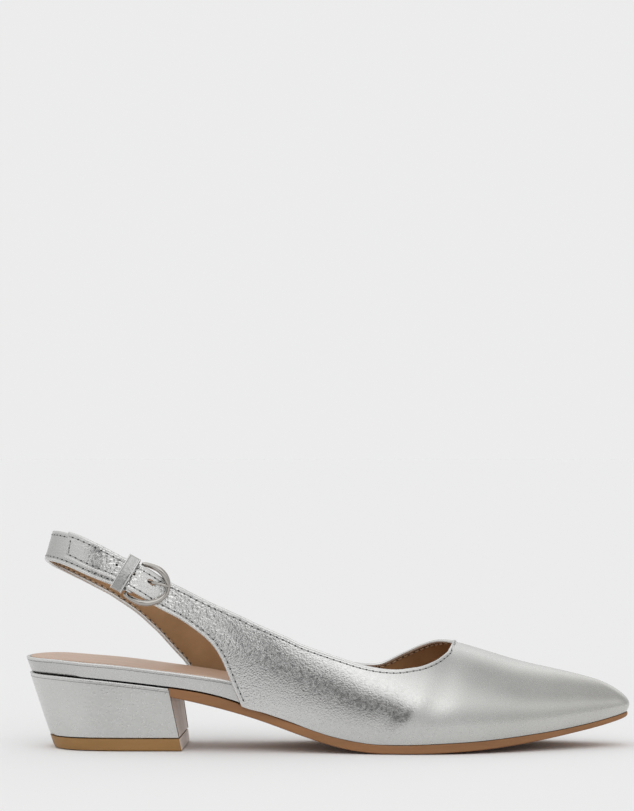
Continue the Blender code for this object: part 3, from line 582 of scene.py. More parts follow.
def prong_across(a):
    """The prong starts in the fold's slot and crosses to the frame's middle."""
    return SLOT_MIDDLE + 0.29 * max(a - EYE_RADIUS, 0.0)


# From under the tongue, through its hole and over it to the frame.
# Columns: along from the bar as a share of BUCKLE_LENGTH, height over the form as a share of PRONG_RISE.
PRONG_PATH = (
    (0.08, -0.53), (0.171, -0.36), (0.263, -0.17), (0.342, -0.03), (0.414, 0.14), (0.487, 0.39),
    (0.566, 0.61), (0.651, 0.81), (0.743, 0.94), (0.836, 0.995), (0.921, 0.97), (0.974, 0.92),
)


def add_piece(name, data, replaced=None):
    """A piece on the root body and the solid that it takes the place of."""
    made = bpy.data.objects.new(name, data)
    SCENE.collection.objects.link(made)
    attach(made, "root")
    if replaced:
        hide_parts(replaced)
    return made


def mesh_of(name, vertices, faces, *looks):
    """A mesh from points and faces, with its materials."""
    mesh = bpy.data.meshes.new(name)
    mesh.from_pydata([tuple(v) for v in vertices], [], faces)
    for look in looks:
        mesh.materials.append(look)
    return mesh


def modifier(piece, name, kind, **settings):
    """Gives a piece a modifier with its settings."""
    made = piece.modifiers.new(name, kind)
    for key, value in settings.items():
        setattr(made, key, value)


@contextmanager
def opened(mesh):
    """Opens a mesh for changes and writes them back."""
    work = bmesh.new()
    work.from_mesh(mesh)
    yield work
    work.to_mesh(mesh)
    work.free()


def shaded(mesh):
    """Shades a mesh smoothly all over."""
    with opened(mesh) as work:
        for part in [*work.faces, *work.edges]:
            part.smooth = True


# Materials.


def new_material(name):
    """A material, its node tree and its shader."""
    made = bpy.data.materials.new(name)
    made.use_nodes = True
    return made, made.node_tree, made.node_tree.nodes["Principled BSDF"]


def feed(tree, fed, inputs):
    """Sets a node's inputs, each to a value, to another node's socket or to a node's first output."""
    for key, value in inputs.items():
        if isinstance(value, bpy.types.Node):
            value = value.outputs[0]
        if isinstance(value, bpy.types.NodeSocket):
            tree.links.new(value, fed.inputs[key])
        else:
            fed.inputs[key].default_value = value


def node(tree, kind, inputs=None, **settings):
    """A shader node with its settings and inputs."""
    made = tree.nodes.new("ShaderNode" + kind)
    for key, value in settings.items():
        setattr(made, key, value)
    feed(tree, made, inputs or {})
    return made


def ramp(tree, value, stops):
    """A value passed through stops, each a place and a grey level or a colour."""
    made = node(tree, "ValToRGB", {0: value})
    line = made.color_ramp.elements
    while len(line) < len(stops):
        line.new(0.5)
    for element, (place, level) in zip(line, stops):
        element.position = place
        element.color = (*level, 1) if isinstance(level, tuple) else (level, level, level, 1)
    return made


def place_along(tree):
    """The place, and how far along the shoe it is, 0 at the heel's back and 1 at the toe."""
    spot = node(tree, "TexCoord").outputs["Object"]
    apart = node(tree, "SeparateXYZ", {0: spot})
    return spot, node(tree, "MapRange", {0: apart, 1: -LIFT_MIDDLE, 2: LENGTH - LIFT_MIDDLE})


def metal_leather(name, colour, roughness, fine, coarse=None, painted_light_stops=None):
    """Metallic leather. Fine and coarse grain are each a cell size, a depth and stops of strength along. The
    last stops are painted light: brightness along the shoe that multiplies the colour.
    """
    made, tree, shader = new_material(name)
    spot, along = place_along(tree)
    normal = None
    for size, depth, strength in (fine, coarse) if coarse else (fine,):
        wave = node(tree, "TexNoise", {"Vector": spot, "Scale": 0.45 / size, "Detail": 3.0})
        bent = node(tree, "VectorMath", {0: wave.outputs["Color"], 1: (0.5, 0.5, 0.5)}, operation="SUBTRACT")
        bent = node(tree, "VectorMath", {0: bent, 3: 1.1 * size}, operation="SCALE")
        moved = node(tree, "VectorMath", {0: spot, 1: bent}, operation="ADD")
        cells = node(tree, "TexVoronoi", {"Vector": moved, "Scale": 1 / size}, feature="F1")
        creases = node(tree, "TexNoise", {"Vector": moved, "Scale": 1.1 / size, "Detail": 1.0})
        height = node(tree, "MixRGB", {0: 0.4, 1: cells.outputs["Distance"], 2: creases})
        inputs = {"Height": height, "Distance": depth}
        if strength:
            inputs["Strength"] = ramp(tree, along, strength)
        if normal:
            inputs["Normal"] = normal
        normal = node(tree, "Bump", inputs, invert=True)
    patches = node(tree, "TexNoise", {"Vector": spot, "Scale": 45.0, "Detail": 2.0})
    tint = ramp(tree, patches, ((0.3, tuple(0.94 * c for c in colour)), (0.7, colour)))
    # Painted light and shade: the colour is made lighter or darker along the shoe.
    if painted_light_stops:
        tint = node(tree, "MixRGB", {0: 1.0, 1: tint, 2: ramp(tree, along, painted_light_stops)}, blend_type="MULTIPLY")
    rough = node(tree, "MapRange", {0: creases, 1: 0.3, 2: 0.7, 3: roughness - 0.04, 4: roughness + 0.07})
    looks = {"Base Color": tint, "Normal": normal, "Roughness": rough, "Metallic": LEATHER_METALLIC}
    feed(tree, shader, looks)
    return made


def plain_leather(name, light, dark, roughness, streak=(1, 1, 1)):
    """Smooth leather whose colour wanders between two tones."""
    made, tree, shader = new_material(name)
    spot, _ = place_along(tree)
    drawn = node(tree, "Mapping", {"Vector": spot, "Scale": streak})
    cloud = node(tree, "TexNoise", {"Vector": drawn, "Scale": 60.0, "Detail": 5.0, "Roughness": 0.6})
    tint = ramp(tree, cloud, ((0.3, dark), (0.7, light)))
    pores = node(tree, "TexNoise", {"Vector": spot, "Scale": 1 / PORE_SIZE, "Detail": 3.0})
    bump = node(tree, "Bump", {"Height": pores, "Distance": PORE_DEPTH})
    feed(tree, shader, {"Base Color": tint, "Normal": bump, "Roughness": roughness})
    return made


def metal(name, colour, roughness):
    """Bare metal whose sheen wanders a little."""
    made, tree, shader = new_material(name)
    spot, _ = place_along(tree)
    haze = node(tree, "TexNoise", {"Vector": spot, "Scale": 900.0, "Detail": 2.0})
    rough = node(tree, "MapRange", {0: haze, 3: roughness * 0.7, 4: roughness * 1.4})
    feed(tree, shader, {"Base Color": (*colour, 1), "Roughness": rough, "Metallic": 1.0})
    return made


# The silver's stops along the shoe are painted light: lighter round the buckle and tongue, darker at the
# heel's back and towards the toe.
SILVER = metal_leather(
    "silver_leather", (0.77, 0.77, 0.76), 0.22,
    (0.00080, 0.00011, ((0.10, 0.8), (0.35, 1.0), (0.50, 0.65), (0.66, 0.25), (0.90, 0.06))),
    (0.00150, 0.00070, (
        (0.04, 0.05), (0.12, 0.2), (0.165, 0.6), (0.19, 1.0), (0.22, 0.65), (0.27, 0.42), (0.35, 0.11),
        (0.42, 0.0),
    )),
    painted_light_stops=(
        (0.04, (0.74, 0.745, 0.73)), (0.085, (0.94, 0.94, 0.94)), (0.20, (1.0, 1.0, 1.0)),
        (0.27, (0.90, 0.90, 0.90)), (0.42, (0.86, 0.86, 0.86)), (0.56, (0.79, 0.79, 0.785)),
        (0.75, (0.77, 0.77, 0.755)), (0.95, (0.76, 0.755, 0.735)),
    ),
)
# The rim's stops along the shoe are painted shade: darker at the heel's back.
RIM_SILVER = metal_leather(
    "rim_silver", (0.62, 0.62, 0.61), 0.27, (0.0016, 0.000020, None),
    painted_light_stops=((0.0, (0.86, 0.86, 0.855)), (0.12, (1.0, 1.0, 1.0)), (0.30, (0.97, 0.97, 0.97))),
)
HEEL_SILVER = metal_leather("heel_silver", (0.65, 0.65, 0.635), 0.30, (0.0011, 0.00010, None))
KEEPER_SILVER = metal_leather("keeper_silver", (0.44, 0.44, 0.43), 0.18, (0.0012, 0.00018, None))
EDGE_SILVER = metal_leather("edge_silver", (0.70, 0.70, 0.69), 0.28, (0.0010, 0.00002, None))
LINING = plain_leather("lining", (0.42, 0.24, 0.115), (0.32, 0.175, 0.075), 0.62)
SOCK = plain_leather("sock_leather", (0.64, 0.46, 0.35), (0.52, 0.35, 0.25), 0.5, streak=(0.5, 1.4, 1))
SOLE = plain_leather("sole_leather", (0.34, 0.155, 0.06), (0.24, 0.11, 0.04), 0.55, streak=(0.35, 1, 3))
LIFT = plain_leather("lift_tan", (0.36, 0.19, 0.06), (0.29, 0.15, 0.045), 0.55, streak=(0.4, 1, 3))
BREAST_SKIN = plain_leather("breast_leather", (0.96, 0.88, 0.83), (0.76, 0.66, 0.60), 0.6, streak=(1, 6, 0.4))
METAL = metal("buckle_metal", (0.44, 0.42, 0.395), 0.07)
THREAD = plain_leather("thread", (0.42, 0.42, 0.41), (0.30, 0.30, 0.29), 0.55)
PALE_THREAD = plain_leather("lining_thread", (0.55, 0.42, 0.30), (0.45, 0.33, 0.22), 0.6)
GROOVE_SHADE = plain_leather("seam_shade", (0.13, 0.125, 0.12), (0.09, 0.085, 0.08), 0.7)
CORNER_SHADE = plain_leather("corner_painted_shade", (0.12, 0.06, 0.03), (0.09, 0.045, 0.025), 0.7)
PIT_SHADE = plain_leather("needle_pit_shade", (0.05, 0.05, 0.048), (0.03, 0.03, 0.03), 0.8)

# The upper: the outer leather and its lining as one sheet with folded edges.
fold = fold_columns()
outer_band = band_columns(OUTER_BAND, OUTER, tongue_lift)
outer_quarter = quarter_columns(OUTER_CORNER, OUTER_TOPLINE_START, OUTER_TOPLINE, OUTER)
outer_vamp = vamp_columns(OUTER)
inner_vamp = vamp_columns(INNER)
inner_quarter = quarter_columns(INNER_CORNER, INNER_TOPLINE_START, INNER_TOPLINE, INNER)
inner_band = band_columns(INNER_BAND, INNER)
heel_strap = band_columns(HEEL_STRAP, OUTER, strap_lift) + fold
columns = outer_band + outer_quarter + outer_vamp[1:]
columns += inner_vamp[-2:0:-1] + inner_quarter[::-1] + inner_band + heel_strap
columns = [[point + SHIFT for point in column] for column in columns]
faces = sheet_faces(columns, len(columns) - len(fold) + 1)
sheet = mesh_of("upper_leather", [p for column in columns for p in column], faces, SILVER, LINING)
upper = add_piece("upper_leather", sheet, "upper")
with opened(upper.data) as work:
    bmesh.ops.remove_doubles(work, verts=work.verts, dist=1e-6)
    bmesh.ops.recalc_face_normals(work, faces=work.faces)
    toe = max(work.faces, key=lambda f: f.calc_center_median().x)
    if toe.normal.x < 0:
        bmesh.ops.reverse_faces(work, faces=work.faces)

# Soft folds of the worn-in leather, by side. Columns: start x and z, end x and z, half width, height.
FOLDS = {
    OUTER: (
        (0.158, 0.008, 0.170, 0.030, 0.0050, -0.00028), (0.166, 0.010, 0.180, 0.032, 0.0045, 0.00026),
        (0.188, 0.014, 0.196, 0.036, 0.0060, 0.00018), (0.178, 0.012, 0.187, 0.034, 0.0050, -0.00016),
        (0.086, 0.058, 0.098, 0.046, 0.0030, -0.00020), (0.104, 0.050, 0.112, 0.040, 0.0035, -0.00016),
        (0.0490, 0.0735, 0.0522, 0.0800, 0.0011, -0.00032), (0.0508, 0.0730, 0.0538, 0.0792, 0.0010, 0.00026),
        (0.0527, 0.0722, 0.0552, 0.0775, 0.0011, -0.00026), (0.0545, 0.0716, 0.0566, 0.0760, 0.0010, 0.00018),
    ),
    INNER: (
        (0.150, 0.010, 0.164, 0.032, 0.0050, -0.00025), (0.160, 0.010, 0.175, 0.034, 0.0050, 0.00022),
        (0.090, 0.056, 0.102, 0.044, 0.0035, -0.00018),
    ),
}


def relief(point):
    """How far the leather is pushed out at a point in the shoe's own sizes."""
    total = 0.0
    for x0, z0, x1, z1, half, height in FOLDS[OUTER if point.y * OUTER > 0 else INNER]:
        run_x, run_z = x1 - x0, z1 - z0
        share = ((point.x - x0) * run_x + (point.z - z0) * run_z) / (run_x ** 2 + run_z ** 2)
        share = min(max(share, 0.0), 1.0)
        away = hypot(point.x - x0 - share * run_x, point.z - z0 - share * run_z) / half
        total += height * exp(-away * away) * sin(pi * min(max(share, 0.04), 0.96)) ** 0.5
    return total


for vertex in upper.data.vertices:
    vertex.co += vertex.normal * relief(vertex.co - SHIFT)
skin = BVHTree.FromPolygons([v.co for v in upper.data.vertices], [p.vertices for p in upper.data.polygons])
# The wall thins towards the tip of the throat, where the sheet turns sharply.
throat_tip = outer_quarter[-1][-1] + SHIFT
thinned = upper.vertex_groups.new(name="wall")
for vertex in upper.data.vertices:
    thinned.add([vertex.index], ease((vertex.co - throat_tip).length / TIP_REACH - 0.5), "REPLACE")
modifier(
    upper, "wall", "SOLIDIFY", thickness=WALL, offset=-1, thickness_clamp=1.0, vertex_group="wall",
    thickness_vertex_group=0.25, material_offset=1, material_offset_rim=0,
)
modifier(upper, "edge", "BEVEL", width=0.0005, segments=3, limit_method="ANGLE", angle_limit=radians(50))


def baked(piece):
    """Puts a piece's modifiers into its mesh."""
    depsgraph = bpy.context.evaluated_depsgraph_get()
    finished = bpy.data.meshes.new_from_object(piece.evaluated_get(depsgraph))
    piece.modifiers.clear()
    piece.data = finished


def punched(piece, name, loop_a, loop_b):
    """Cuts a hole through a piece, between two loops of points."""
    count = len(loop_a)
    sides = ring_faces(2, count) + [list(range(count)), list(range(count, 2 * count))]
    punch = bpy.data.objects.new(name, mesh_of(name, loop_a + loop_b, sides))
    with opened(punch.data) as work:
        bmesh.ops.recalc_face_normals(work, faces=work.faces)
        for face in work.faces:
            face.material_index = 1
    bpy.context.collection.objects.link(punch)
    modifier(piece, name, "BOOLEAN", operation="DIFFERENCE", solver="EXACT", object=punch)
    baked(piece)
    bpy.data.objects.remove(punch)


baked(upper)
loops = []
for n in (-WALL, 3 * WALL):
    loops.append([])
    for turn in range(0, 360, 15):
        a = HOLE_PLACE + 0.5 * HOLE_LENGTH * cos(radians(turn))
        p = prong_across(HOLE_PLACE) + 0.5 * HOLE_WIDTH * sin(radians(turn))
        loops[-1].append(at_buckle(a, p, n) + SHIFT)
punched(upper, "prong_punch", *loops)
# Each spare hole gets a dark disc of painted shade near its inner end.
hole_shade_discs = []
for x, z in SPARE_HOLES:
    start = Vector((x, 5 * OUTER * COLLAR, z)) + SHIFT
    place, normal, _, _ = skin.ray_cast(start, Vector((0, -OUTER, 0)))
    across = normal.orthogonal().normalized()
    loops = []
    for depth in (-0.001, WALL + 0.0002):
        loops.append([])
        for turn in range(0, 360, 360 // SPARE_HOLE_SIDES):
            offset = Matrix.Rotation(radians(turn), 3, normal) @ across * SPARE_HOLE_RADIUS
            loops[-1].append(place + offset - normal * depth)
    punched(upper, "pin_punch", *loops)
    hole_shade_discs.append([point + normal * SPARE_SHADE_RISE for point in loops[1]])
hole_shade_faces = [[k * SPARE_HOLE_SIDES + i for i in range(SPARE_HOLE_SIDES)] for k in range(len(hole_shade_discs))]
hole_shades = mesh_of("hole_shade_discs", [p for loop in hole_shade_discs for p in loop], hole_shade_faces, PIT_SHADE)
add_piece("hole_shade_discs", hole_shades)
# The folded edge is silver on both faces round the tip of the throat.
for face in upper.data.polygons:
    away = face.center - throat_tip
    if away.length < TIP_REACH and away.x > -TIP_EDGE and away.y < TIP_EDGE:
        face.material_index = 0
shaded(upper.data)


def refined(name, new_name, looks, sharp=40):
    """A smoother copy of a solid, in its place, with its edges over the sharp angle kept."""
    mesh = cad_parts[name].data.copy()
    mesh.name = new_name
    with opened(mesh) as work:
        bmesh.ops.remove_doubles(work, verts=work.verts, dist=WELD)
        limits = {"angle_face_threshold": radians(25), "angle_shape_threshold": radians(60)}
        bmesh.ops.join_triangles(work, faces=work.faces, **limits)
        creases = work.edges.layers.float.get("crease_edge") or work.edges.layers.float.new("crease_edge")
        for line in work.edges:
            angle = degrees(line.calc_face_angle(0.0)) if len(line.link_faces) == 2 else 90.0
            line[creases] = 1.0 if angle > sharp else 0.0
            line.smooth = angle <= sharp
        for face in work.faces:
            face.smooth = True
            face.material_index = 0
    mesh.materials.clear()
    for look in looks:
        mesh.materials.append(look)
    made = add_piece(new_name, mesh, name)
    modifier(made, "finer", "SUBSURF", levels=2, render_levels=2)
    return made


rim = refined("insole_rim", "rim_cover", [RIM_SILVER], sharp=44)
refined("insole", "sock", [SOCK])
refined("outsole", "outsole_leather", [SOLE])
heel = refined("heel", "heel_cover", [HEEL_SILVER, BREAST_SKIN])
lift = refined("top_lift", "lift", [LIFT, BREAST_SKIN])
for piece in (heel, lift):
    for face in piece.data.polygons:
        if face.normal.x > 0.8:
            face.material_index = 1


def tube(name, points, radii, look, replaced=None, closed=False, sides=16):
    """A round wire through points, each with its radius."""
    curve = bpy.data.curves.new(name, "CURVE")
    curve.dimensions = "3D"
    curve.bevel_depth = 1.0
    curve.bevel_resolution = sides // 2 - 2
    curve.use_fill_caps = True
    line = curve.splines.new("POLY")
    line.points.add(len(points) - 1)
    for spot, point, radius in zip(line.points, points, radii):
        spot.co = (*point, 1.0)
        spot.radius = radius
    line.use_cyclic_u = closed
    line.use_smooth = True
    curve.materials.append(look)
    return add_piece(name, curve, replaced)


half_frame = [(a * BUCKLE_LENGTH, p * BUCKLE_HALF_WIDTH) for a, p in HALF_FRAME]
arc = [at_buckle(a, frame_middle(a) + p, frame_lift(a)) for a, p in half_frame]
arc += [at_buckle(a, frame_middle(a) - p, frame_lift(a)) for a, p in half_frame[::-1]]
arc = spline(arc, fine=6)
bar = [at_buckle(0.0, share * BUCKLE_HALF_WIDTH, BAR_DEPTH) for share in (-0.74, -0.25, 0.25, 0.76)]
wire = [point + SHIFT for point in arc + bar]
# The wire is stoutest on its two sides, halfway between the bar and the curved end.
stout = [
    WIRE_RADIUS * (WIRE_SHARE + SIDE_SHARE * sin(2 * pi * i / (len(arc) - 1)) ** 2)
    for i in range(len(arc))
]
tube("buckle_wire", wire, stout + [BAR_RADIUS] * 4, METAL, "buckle_frame", True)
prong_line = []
for angle in range(40, 280, 15):
    a = EYE_RADIUS * cos(radians(angle))
    n = BAR_DEPTH + EYE_RADIUS * sin(radians(angle))
    prong_line.append((*at_buckle(a, SLOT_MIDDLE, n), 0.75))
for along_share, height_share in PRONG_PATH:
    a = along_share * BUCKLE_LENGTH
    thick = 0.75 + 0.25 * ease(a / 0.005) - 0.4 * ease((a - 0.0128) / 0.002)
    prong_line.append((*at_buckle(a, prong_across(a), height_share * PRONG_RISE), thick))
prong_line = spline(prong_line, fine=5)
prong_radii = [PRONG_SHARE * PRONG_RADIUS * p[3] for p in prong_line]
prong_line = [point.to_3d() + SHIFT for point in prong_line]
tube("prong_wire", prong_line, prong_radii, METAL, "buckle_prong")


def by_place(point):
    """A sorting key, so that what is found in a mesh comes in the same order on every run."""
    return tuple(round(share, 6) for share in point)


def edge_runs(name, wanted):
    """The runs of a solid's edges for which wanted(normal, other normal) holds, longest first.
    Each is a list of points, and a closed run holds its first point once."""
    work = bmesh.new()
    work.from_mesh(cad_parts[name].data)
    bmesh.ops.remove_doubles(work, verts=work.verts, dist=WELD)
    left = [e for e in work.edges if len(e.link_faces) == 2 and
            (wanted(e.link_faces[0].normal, e.link_faces[1].normal) or
             wanted(e.link_faces[1].normal, e.link_faces[0].normal))]
    left.sort(key=lambda e: by_place(e.verts[0].co + e.verts[1].co))
    runs = []
    while left:
        run = sorted(left.pop(0).verts, key=lambda v: by_place(v.co))
        for at_end in (True, False):
            while True:
                tip = run[-1] if at_end else run[0]
                following = next((e for e in left if tip in e.verts), None)
                if following is None:
                    break
                left.remove(following)
                run.insert(len(run) if at_end else 0, following.other_vert(tip))
        if run[0] == run[-1]:
            run.pop()
        runs.append([v.co.copy() for v in run])
    work.free()
    return sorted(runs, key=lambda run: (-len(run), by_place(run[0])))


def surface_of(piece):
    """A piece's surface with its modifiers, to look for the nearest point."""
    return BVHTree.FromObject(piece, bpy.context.evaluated_depsgraph_get())


def lowered(run, drop, surface, out=0.0):
    """A run moved down by a distance and set back on the surface."""
    line = []
    for point in run:
        place, normal, _, _ = surface.find_nearest(point - Vector((0, 0, drop)))
        line.append(place + normal * out)
    return line


def behind(run, limit):
    """The part of a closed run behind an x, from one side round the back to the other."""
    first = next(k for k in range(len(run)) if run[k - 1].x >= limit > run[k].x)
    turned = run[first:] + run[:first]
    return [point for point in turned if point.x < limit]


def drawn(name, points, radius, slot, look):
    """A smooth thin line through points. Neighbours that fall on one place are taken once."""
    points = [a for a, b in zip(points, points[1:]) if (b - a).length > 1e-6] + points[-1:]
    points = spline(points, fine=3)
    tube(name, points, [radius] * len(points), look, sides=8)


rim_side, heel_side = surface_of(rim), surface_of(heel)
rim_runs = edge_runs("insole_rim", lambda a, b: a.z > 0.8 and b.z < 0.6)
rim_edge = behind(max(rim_runs, key=lambda run: max(point.y for point in run)), RIM_SHOWN)
heel_edge = edge_runs("heel", lambda a, b: a.z > 0.8 and b.z < 0.5 and b.x < 0.8)[0]
for name, line, surface, drop, sunk in (
    ("rim", rim_edge, rim_side, RIM_ROLL_DROP, RIM_ROLL_SUNK),
    ("heel", heel_edge, heel_side, HEEL_ROLL_DROP, HEEL_ROLL_SUNK),
):
    drawn(name + "_roll", lowered(line, drop, surface, -sunk), ROLL_RADIUS, name + "_silver", EDGE_SILVER)
    # The groove under each rolled edge is a dark line of painted shade.
    groove_shade = lowered(line, GROOVE_DROP, surface, -GROOVE_SUNK)
    drawn(name + "_line", groove_shade, GROOVE_RADIUS, name + "_silver", GROOVE_SHADE)
# Brown lines of painted shade down the heel's front corners.
for number, corner in enumerate(edge_runs("heel", lambda a, b: a.x > 0.8 and abs(b.y) > 0.6)):
    line = [point + Vector((CORNER_LINE_OUT, 0, 0)) for point in corner]
    drawn("heel_corner_shade_%d" % number, line, CORNER_LINE_RADIUS, "heel_silver", CORNER_SHADE)

# The keeper: a loop of leather, a little rounded between its pale edges.
keeper_columns = []
for share, drop in (
    (0.0, -0.00025), (0.12, -0.00002), (0.3, 0.0), (0.5, -0.00006), (0.7, 0.0), (0.88, -0.00002),
    (1.0, -0.00025),
):
    a = KEEPER_BACK + share * (KEEPER_FRONT - KEEPER_BACK)
    lift = BAR_LIFT * ease(1 + a / LIFT_RUN)
    low = lift - WALL - GAP - KEEPER_WALL + KEEPER_CORNER
    high = lift + WALL + 2 * GAP + KEEPER_WALL - KEEPER_CORNER
    half = KEEPER_HALF_WIDTH - KEEPER_CORNER
    far, near = GAP + half, GAP - half
    outline = []
    for p, n, start in ((far, high, 90), (far, low, 0), (near, low, -90), (near, high, 180)):
        for turn in range(0, 91, 15):
            angle = radians(start - turn)
            reach = KEEPER_CORNER + drop
            outline.append((p + reach * cos(angle), n + reach * sin(angle)))
    for t in [step / 8 for step in range(1, 8)]:
        outline.append((near + t * (far - near), high + KEEPER_CORNER + drop + KEEPER_BOW * sin(pi * t)))
    keeper_columns.append([at_buckle(a, p, n) + SHIFT for p, n in outline])
turns = len(keeper_columns[0])
faces = ring_faces(len(keeper_columns), turns)
loop = mesh_of("keeper_loop", [p for column in keeper_columns for p in column], faces, KEEPER_SILVER)
keeper = add_piece("keeper_loop", loop, "keeper")
with opened(keeper.data) as work:
    bmesh.ops.recalc_face_normals(work, faces=work.faces)
    middle = sum((v.co for v in work.verts), Vector()) / len(work.verts)
    outermost = max(work.faces, key=lambda f: (f.calc_center_median() - middle).length)
    if outermost.normal.dot(outermost.calc_center_median() - middle) < 0:
        bmesh.ops.reverse_faces(work, faces=work.faces)
modifier(keeper, "wall", "SOLIDIFY", thickness=0.8 * KEEPER_WALL, offset=-1)
modifier(keeper, "round", "SUBSURF", levels=2, render_levels=2)
shaded(keeper.data)
for number, column in enumerate((keeper_columns[0], keeper_columns[-1])):
    radii = [KEEPER_EDGE_RADIUS] * turns
    tube("keeper_edge_%d" % number, column, radii, EDGE_SILVER, closed=True, sides=8)

# Stitches, with dark discs of painted shade for the pits that the needle left.


def seam_line(ends, inset, side=0.0):
    """A line on the upper at an inset from an edge. Ends pairs each point of the edge with one further in."""
    line = []
    for k, (rim_point, inner_point) in enumerate(ends):
        ahead = ends[min(k + 1, len(ends) - 1)][0] - ends[max(k - 1, 0)][0]
        inward = inner_point - rim_point
        inward -= ahead * (inward.dot(ahead) / max(ahead.length_squared, 1e-12))
        if inward.length < 1e-6:
            continue
        place, normal, _, _ = skin.find_nearest(rim_point + inward.normalized() * inset)
        line.append((place - normal * side, normal if not side else -normal))
    return line


def walk(line, places):
    """Points and normals at distances along a seam line."""
    reach = reaches([place for place, _ in line])
    found = []
    k = 0
    for goal in places:
        while k < len(reach) - 2 and reach[k + 1] < goal:
            k += 1
        t = (goal - reach[k]) / max(reach[k + 1] - reach[k], 1e-9)
        a, b = line[k], line[k + 1]
        found.append((a[0].lerp(b[0], t), a[1].lerp(b[1], t).normalized()))
    return found


def sew(name, lines, stitch, radius, thread):
    """Stitches along seam lines: short bent threads whose ends go into the leather, and dark discs of painted
    shade for the pits between.
    """
    rings = ((0.0, -0.8, 0.6), (0.15, 0.35, 0.95), (0.5, 0.7, 1.05), (0.85, 0.35, 0.95), (1.0, -0.8, 0.6))
    vertices, faces, pit_vertices, pit_faces = [], [], [], []
    for line in lines:
        count = int(reaches([place for place, _ in line])[-1] / STITCH_PITCH)
        for k in range(count):
            start = (k + 0.15) * STITCH_PITCH
            spots = walk(line, [start + stitch * share for share, _, _ in rings])
            ahead = (spots[-1][0] - spots[0][0]).normalized()
            base = len(vertices)
            for (place, normal), (_, rise, thick) in zip(spots, rings):
                across = ahead.cross(normal).normalized()
                for side in range(6):
                    turn = radians(60 * side)
                    offset = across * cos(turn) + normal * sin(turn)
                    vertices.append(place + normal * rise * radius + offset * radius * thick)
            faces += ring_faces(len(rings), 6, base)
            faces += [[base + side for side in range(5, -1, -1)], [base + 24 + side for side in range(6)]]
            (place, normal), = walk(line, [start + 0.5 * (stitch + STITCH_PITCH)])
            across = ahead.cross(normal).normalized()
            base = len(pit_vertices)
            for side in range(8):
                turn = radians(45 * side)
                edge_point = across * cos(turn) * radius * 1.5
                edge_point += ahead * sin(turn) * (STITCH_PITCH - stitch) * 0.62
                pit_vertices.append(place + edge_point + normal * 0.00003)
            pit_faces.append([base + side for side in range(8)])
    threads = mesh_of(name, vertices, faces, thread)
    shaded(threads)
    add_piece(name, threads)
    add_piece(name + "_pit_shades", mesh_of(name + "_pit_shades", pit_vertices, pit_faces, PIT_SHADE))


def shifted(column_list):
    """Columns moved into the solids' frame."""
    return [[point + SHIFT for point in column] for column in column_list]


near_edge = [(c[-1], c[-4]) for c in shifted(outer_band + outer_quarter[:-1])]
far_edge = [(c[-1], c[-4]) for c in shifted(inner_quarter[::-1] + inner_band + heel_strap[:-8])]
near_top = [ends for ends in near_edge if ends[0].x < throat_tip.x - SEAM_STOP]
far_top = [ends for ends in far_edge if ends[0].x < throat_tip.x - SEAM_STOP]
low = [(c[0], c[3]) for c in shifted(outer_band + outer_quarter[:1])]
far_low = [(c[0], c[3]) for c in shifted(inner_quarter[:1] + inner_band + heel_strap[:-8])]
tongue_end = [(a, b) for a, b in zip(shifted(outer_band[:1])[0], shifted(outer_band[4:5])[0])]
outer_seams = [seam_line(ends, SEAM_INSET) for ends in (near_top, far_top, low, far_low)]
outer_seams.append(seam_line(tongue_end[3:-3], TONGUE_END_INSET))
sew("stitches", outer_seams, STITCH_LENGTH, THREAD_RADIUS, THREAD)
folded = {"topline": near_edge + far_edge, "outer_low": low, "inner_low": far_low, "tongue": tongue_end[1:-1]}
for name, ends in folded.items():
    line = [place for place, _ in seam_line(ends, BEAD_INSET, 0.5 * WALL)]
    tube(name + "_fold", line, [BEAD_RADIUS] * len(line), EDGE_SILVER, sides=10)
lining_seams = [seam_line(ends, SEAM_INSET, WALL) for ends in (near_top[:-2], far_top[2:], low, far_low)]
sew("lining_stitches", lining_seams, LINING_STITCH_LENGTH, LINING_THREAD_RADIUS, PALE_THREAD)

# Floor, light and camera.
floor_look, floor_tree, floor_shader = new_material("floor")
floor_colour = (FLOOR_LEVEL, FLOOR_LEVEL, FLOOR_LEVEL, 1)
feed(floor_tree, floor_shader, {"Base Color": floor_colour, "Roughness": 1.0, "Specular IOR Level": 0.0})
floor_mesh = mesh_of("floor", [(-6, -6, 0), (6, -6, 0), (6, 8, 0), (-6, 8, 0)], [(0, 1, 2, 3)], floor_look)
floor = bpy.data.objects.new("floor", floor_mesh)
SCENE.collection.objects.link(floor)

world = bpy.data.worlds.new("studio")
SCENE.world = world
world.use_nodes = True
sky = world.node_tree
sky.nodes.clear()
direction = node(sky, "TexCoord").outputs["Generated"]


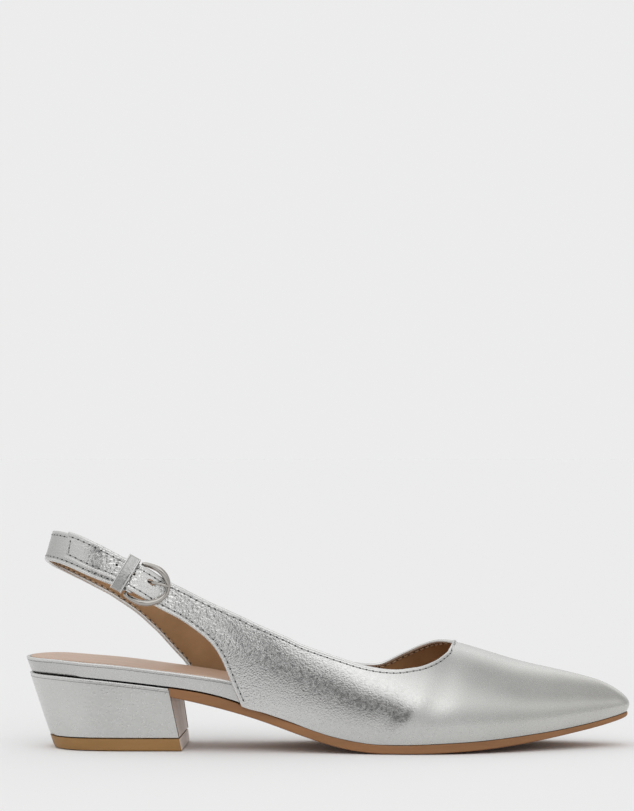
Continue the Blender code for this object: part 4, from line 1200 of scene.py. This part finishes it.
def patch(azimuth, elevation, inner, outer, stretch=(1.0, 1.0, 1.0)):
    """1 around a direction of the sky, 0 beyond the outer reach. Azimuth 0 is behind the camera, 90 past the
    toe."""
    a, e = radians(azimuth), radians(elevation)
    middle = (sin(a) * cos(e), -cos(a) * cos(e), sin(e))
    away = node(sky, "VectorMath", {0: direction, 1: middle}, operation="SUBTRACT")
    away = node(sky, "VectorMath", {0: away, 1: stretch}, operation="MULTIPLY")
    away = node(sky, "VectorMath", {0: away}, operation="LENGTH").outputs["Value"]
    levels = {0: away, 1: inner, 2: outer, 3: 1.0, 4: 0.0}
    return node(sky, "MapRange", levels, interpolation_type="SMOOTHSTEP")


# A lit ceiling, a broad light high in front with a softbox in it, a lamp overhead, less light past the toe,
# a light behind, and a dark gap low in front.
studio = SKY_LEVEL
for share, spot in (
    (0.30, patch(0, 90, 0.90, 1.35)), (0.42, patch(-4, 38, 0.15, 0.72)), (0.22, patch(2, 30, 0.10, 0.36)),
    (0.25, patch(0, 88, 0.10, 0.80)), (-0.38, patch(112, 48, 0.20, 0.80)), (0.20, patch(170, 28, 0.15, 0.70)),
    (-1.20, patch(-12, 13, 0.05, 0.38, (1.15, 1.0, 1.45))),
):
    studio = node(sky, "Math", {0: spot, 1: share, 2: studio}, operation="MULTIPLY_ADD")
studio = node(sky, "Math", {0: studio, 1: SKY_LEAST}, operation="MAXIMUM")
lit = node(sky, "Background", {0: studio, 1: 1.0})
seen = node(sky, "Background", {0: (BACKGROUND_LEVEL, BACKGROUND_LEVEL, BACKGROUND_LEVEL, 1), 1: 1.0})
sight = node(sky, "LightPath").outputs["Is Camera Ray"]
mixed = node(sky, "MixShader", {0: sight, 1: lit, 2: seen})
node(sky, "OutputWorld", {0: mixed})

SCENE.view_settings.view_transform = "Standard"

camera = bpy.data.cameras.new("camera")
camera.lens = FOCAL_PIXELS * SENSOR / PHOTO_PIXELS
camera.sensor_width = SENSOR
camera.clip_start = 0.01
camera_object = bpy.data.objects.new("camera", camera)
camera_object.location = (CAMERA_ALONG - LIFT_MIDDLE, -CAMERA_AWAY, CAMERA_HEIGHT)
camera_object.rotation_euler = (radians(90), 0, 0)
SCENE.collection.objects.link(camera_object)
SCENE.camera = camera_object
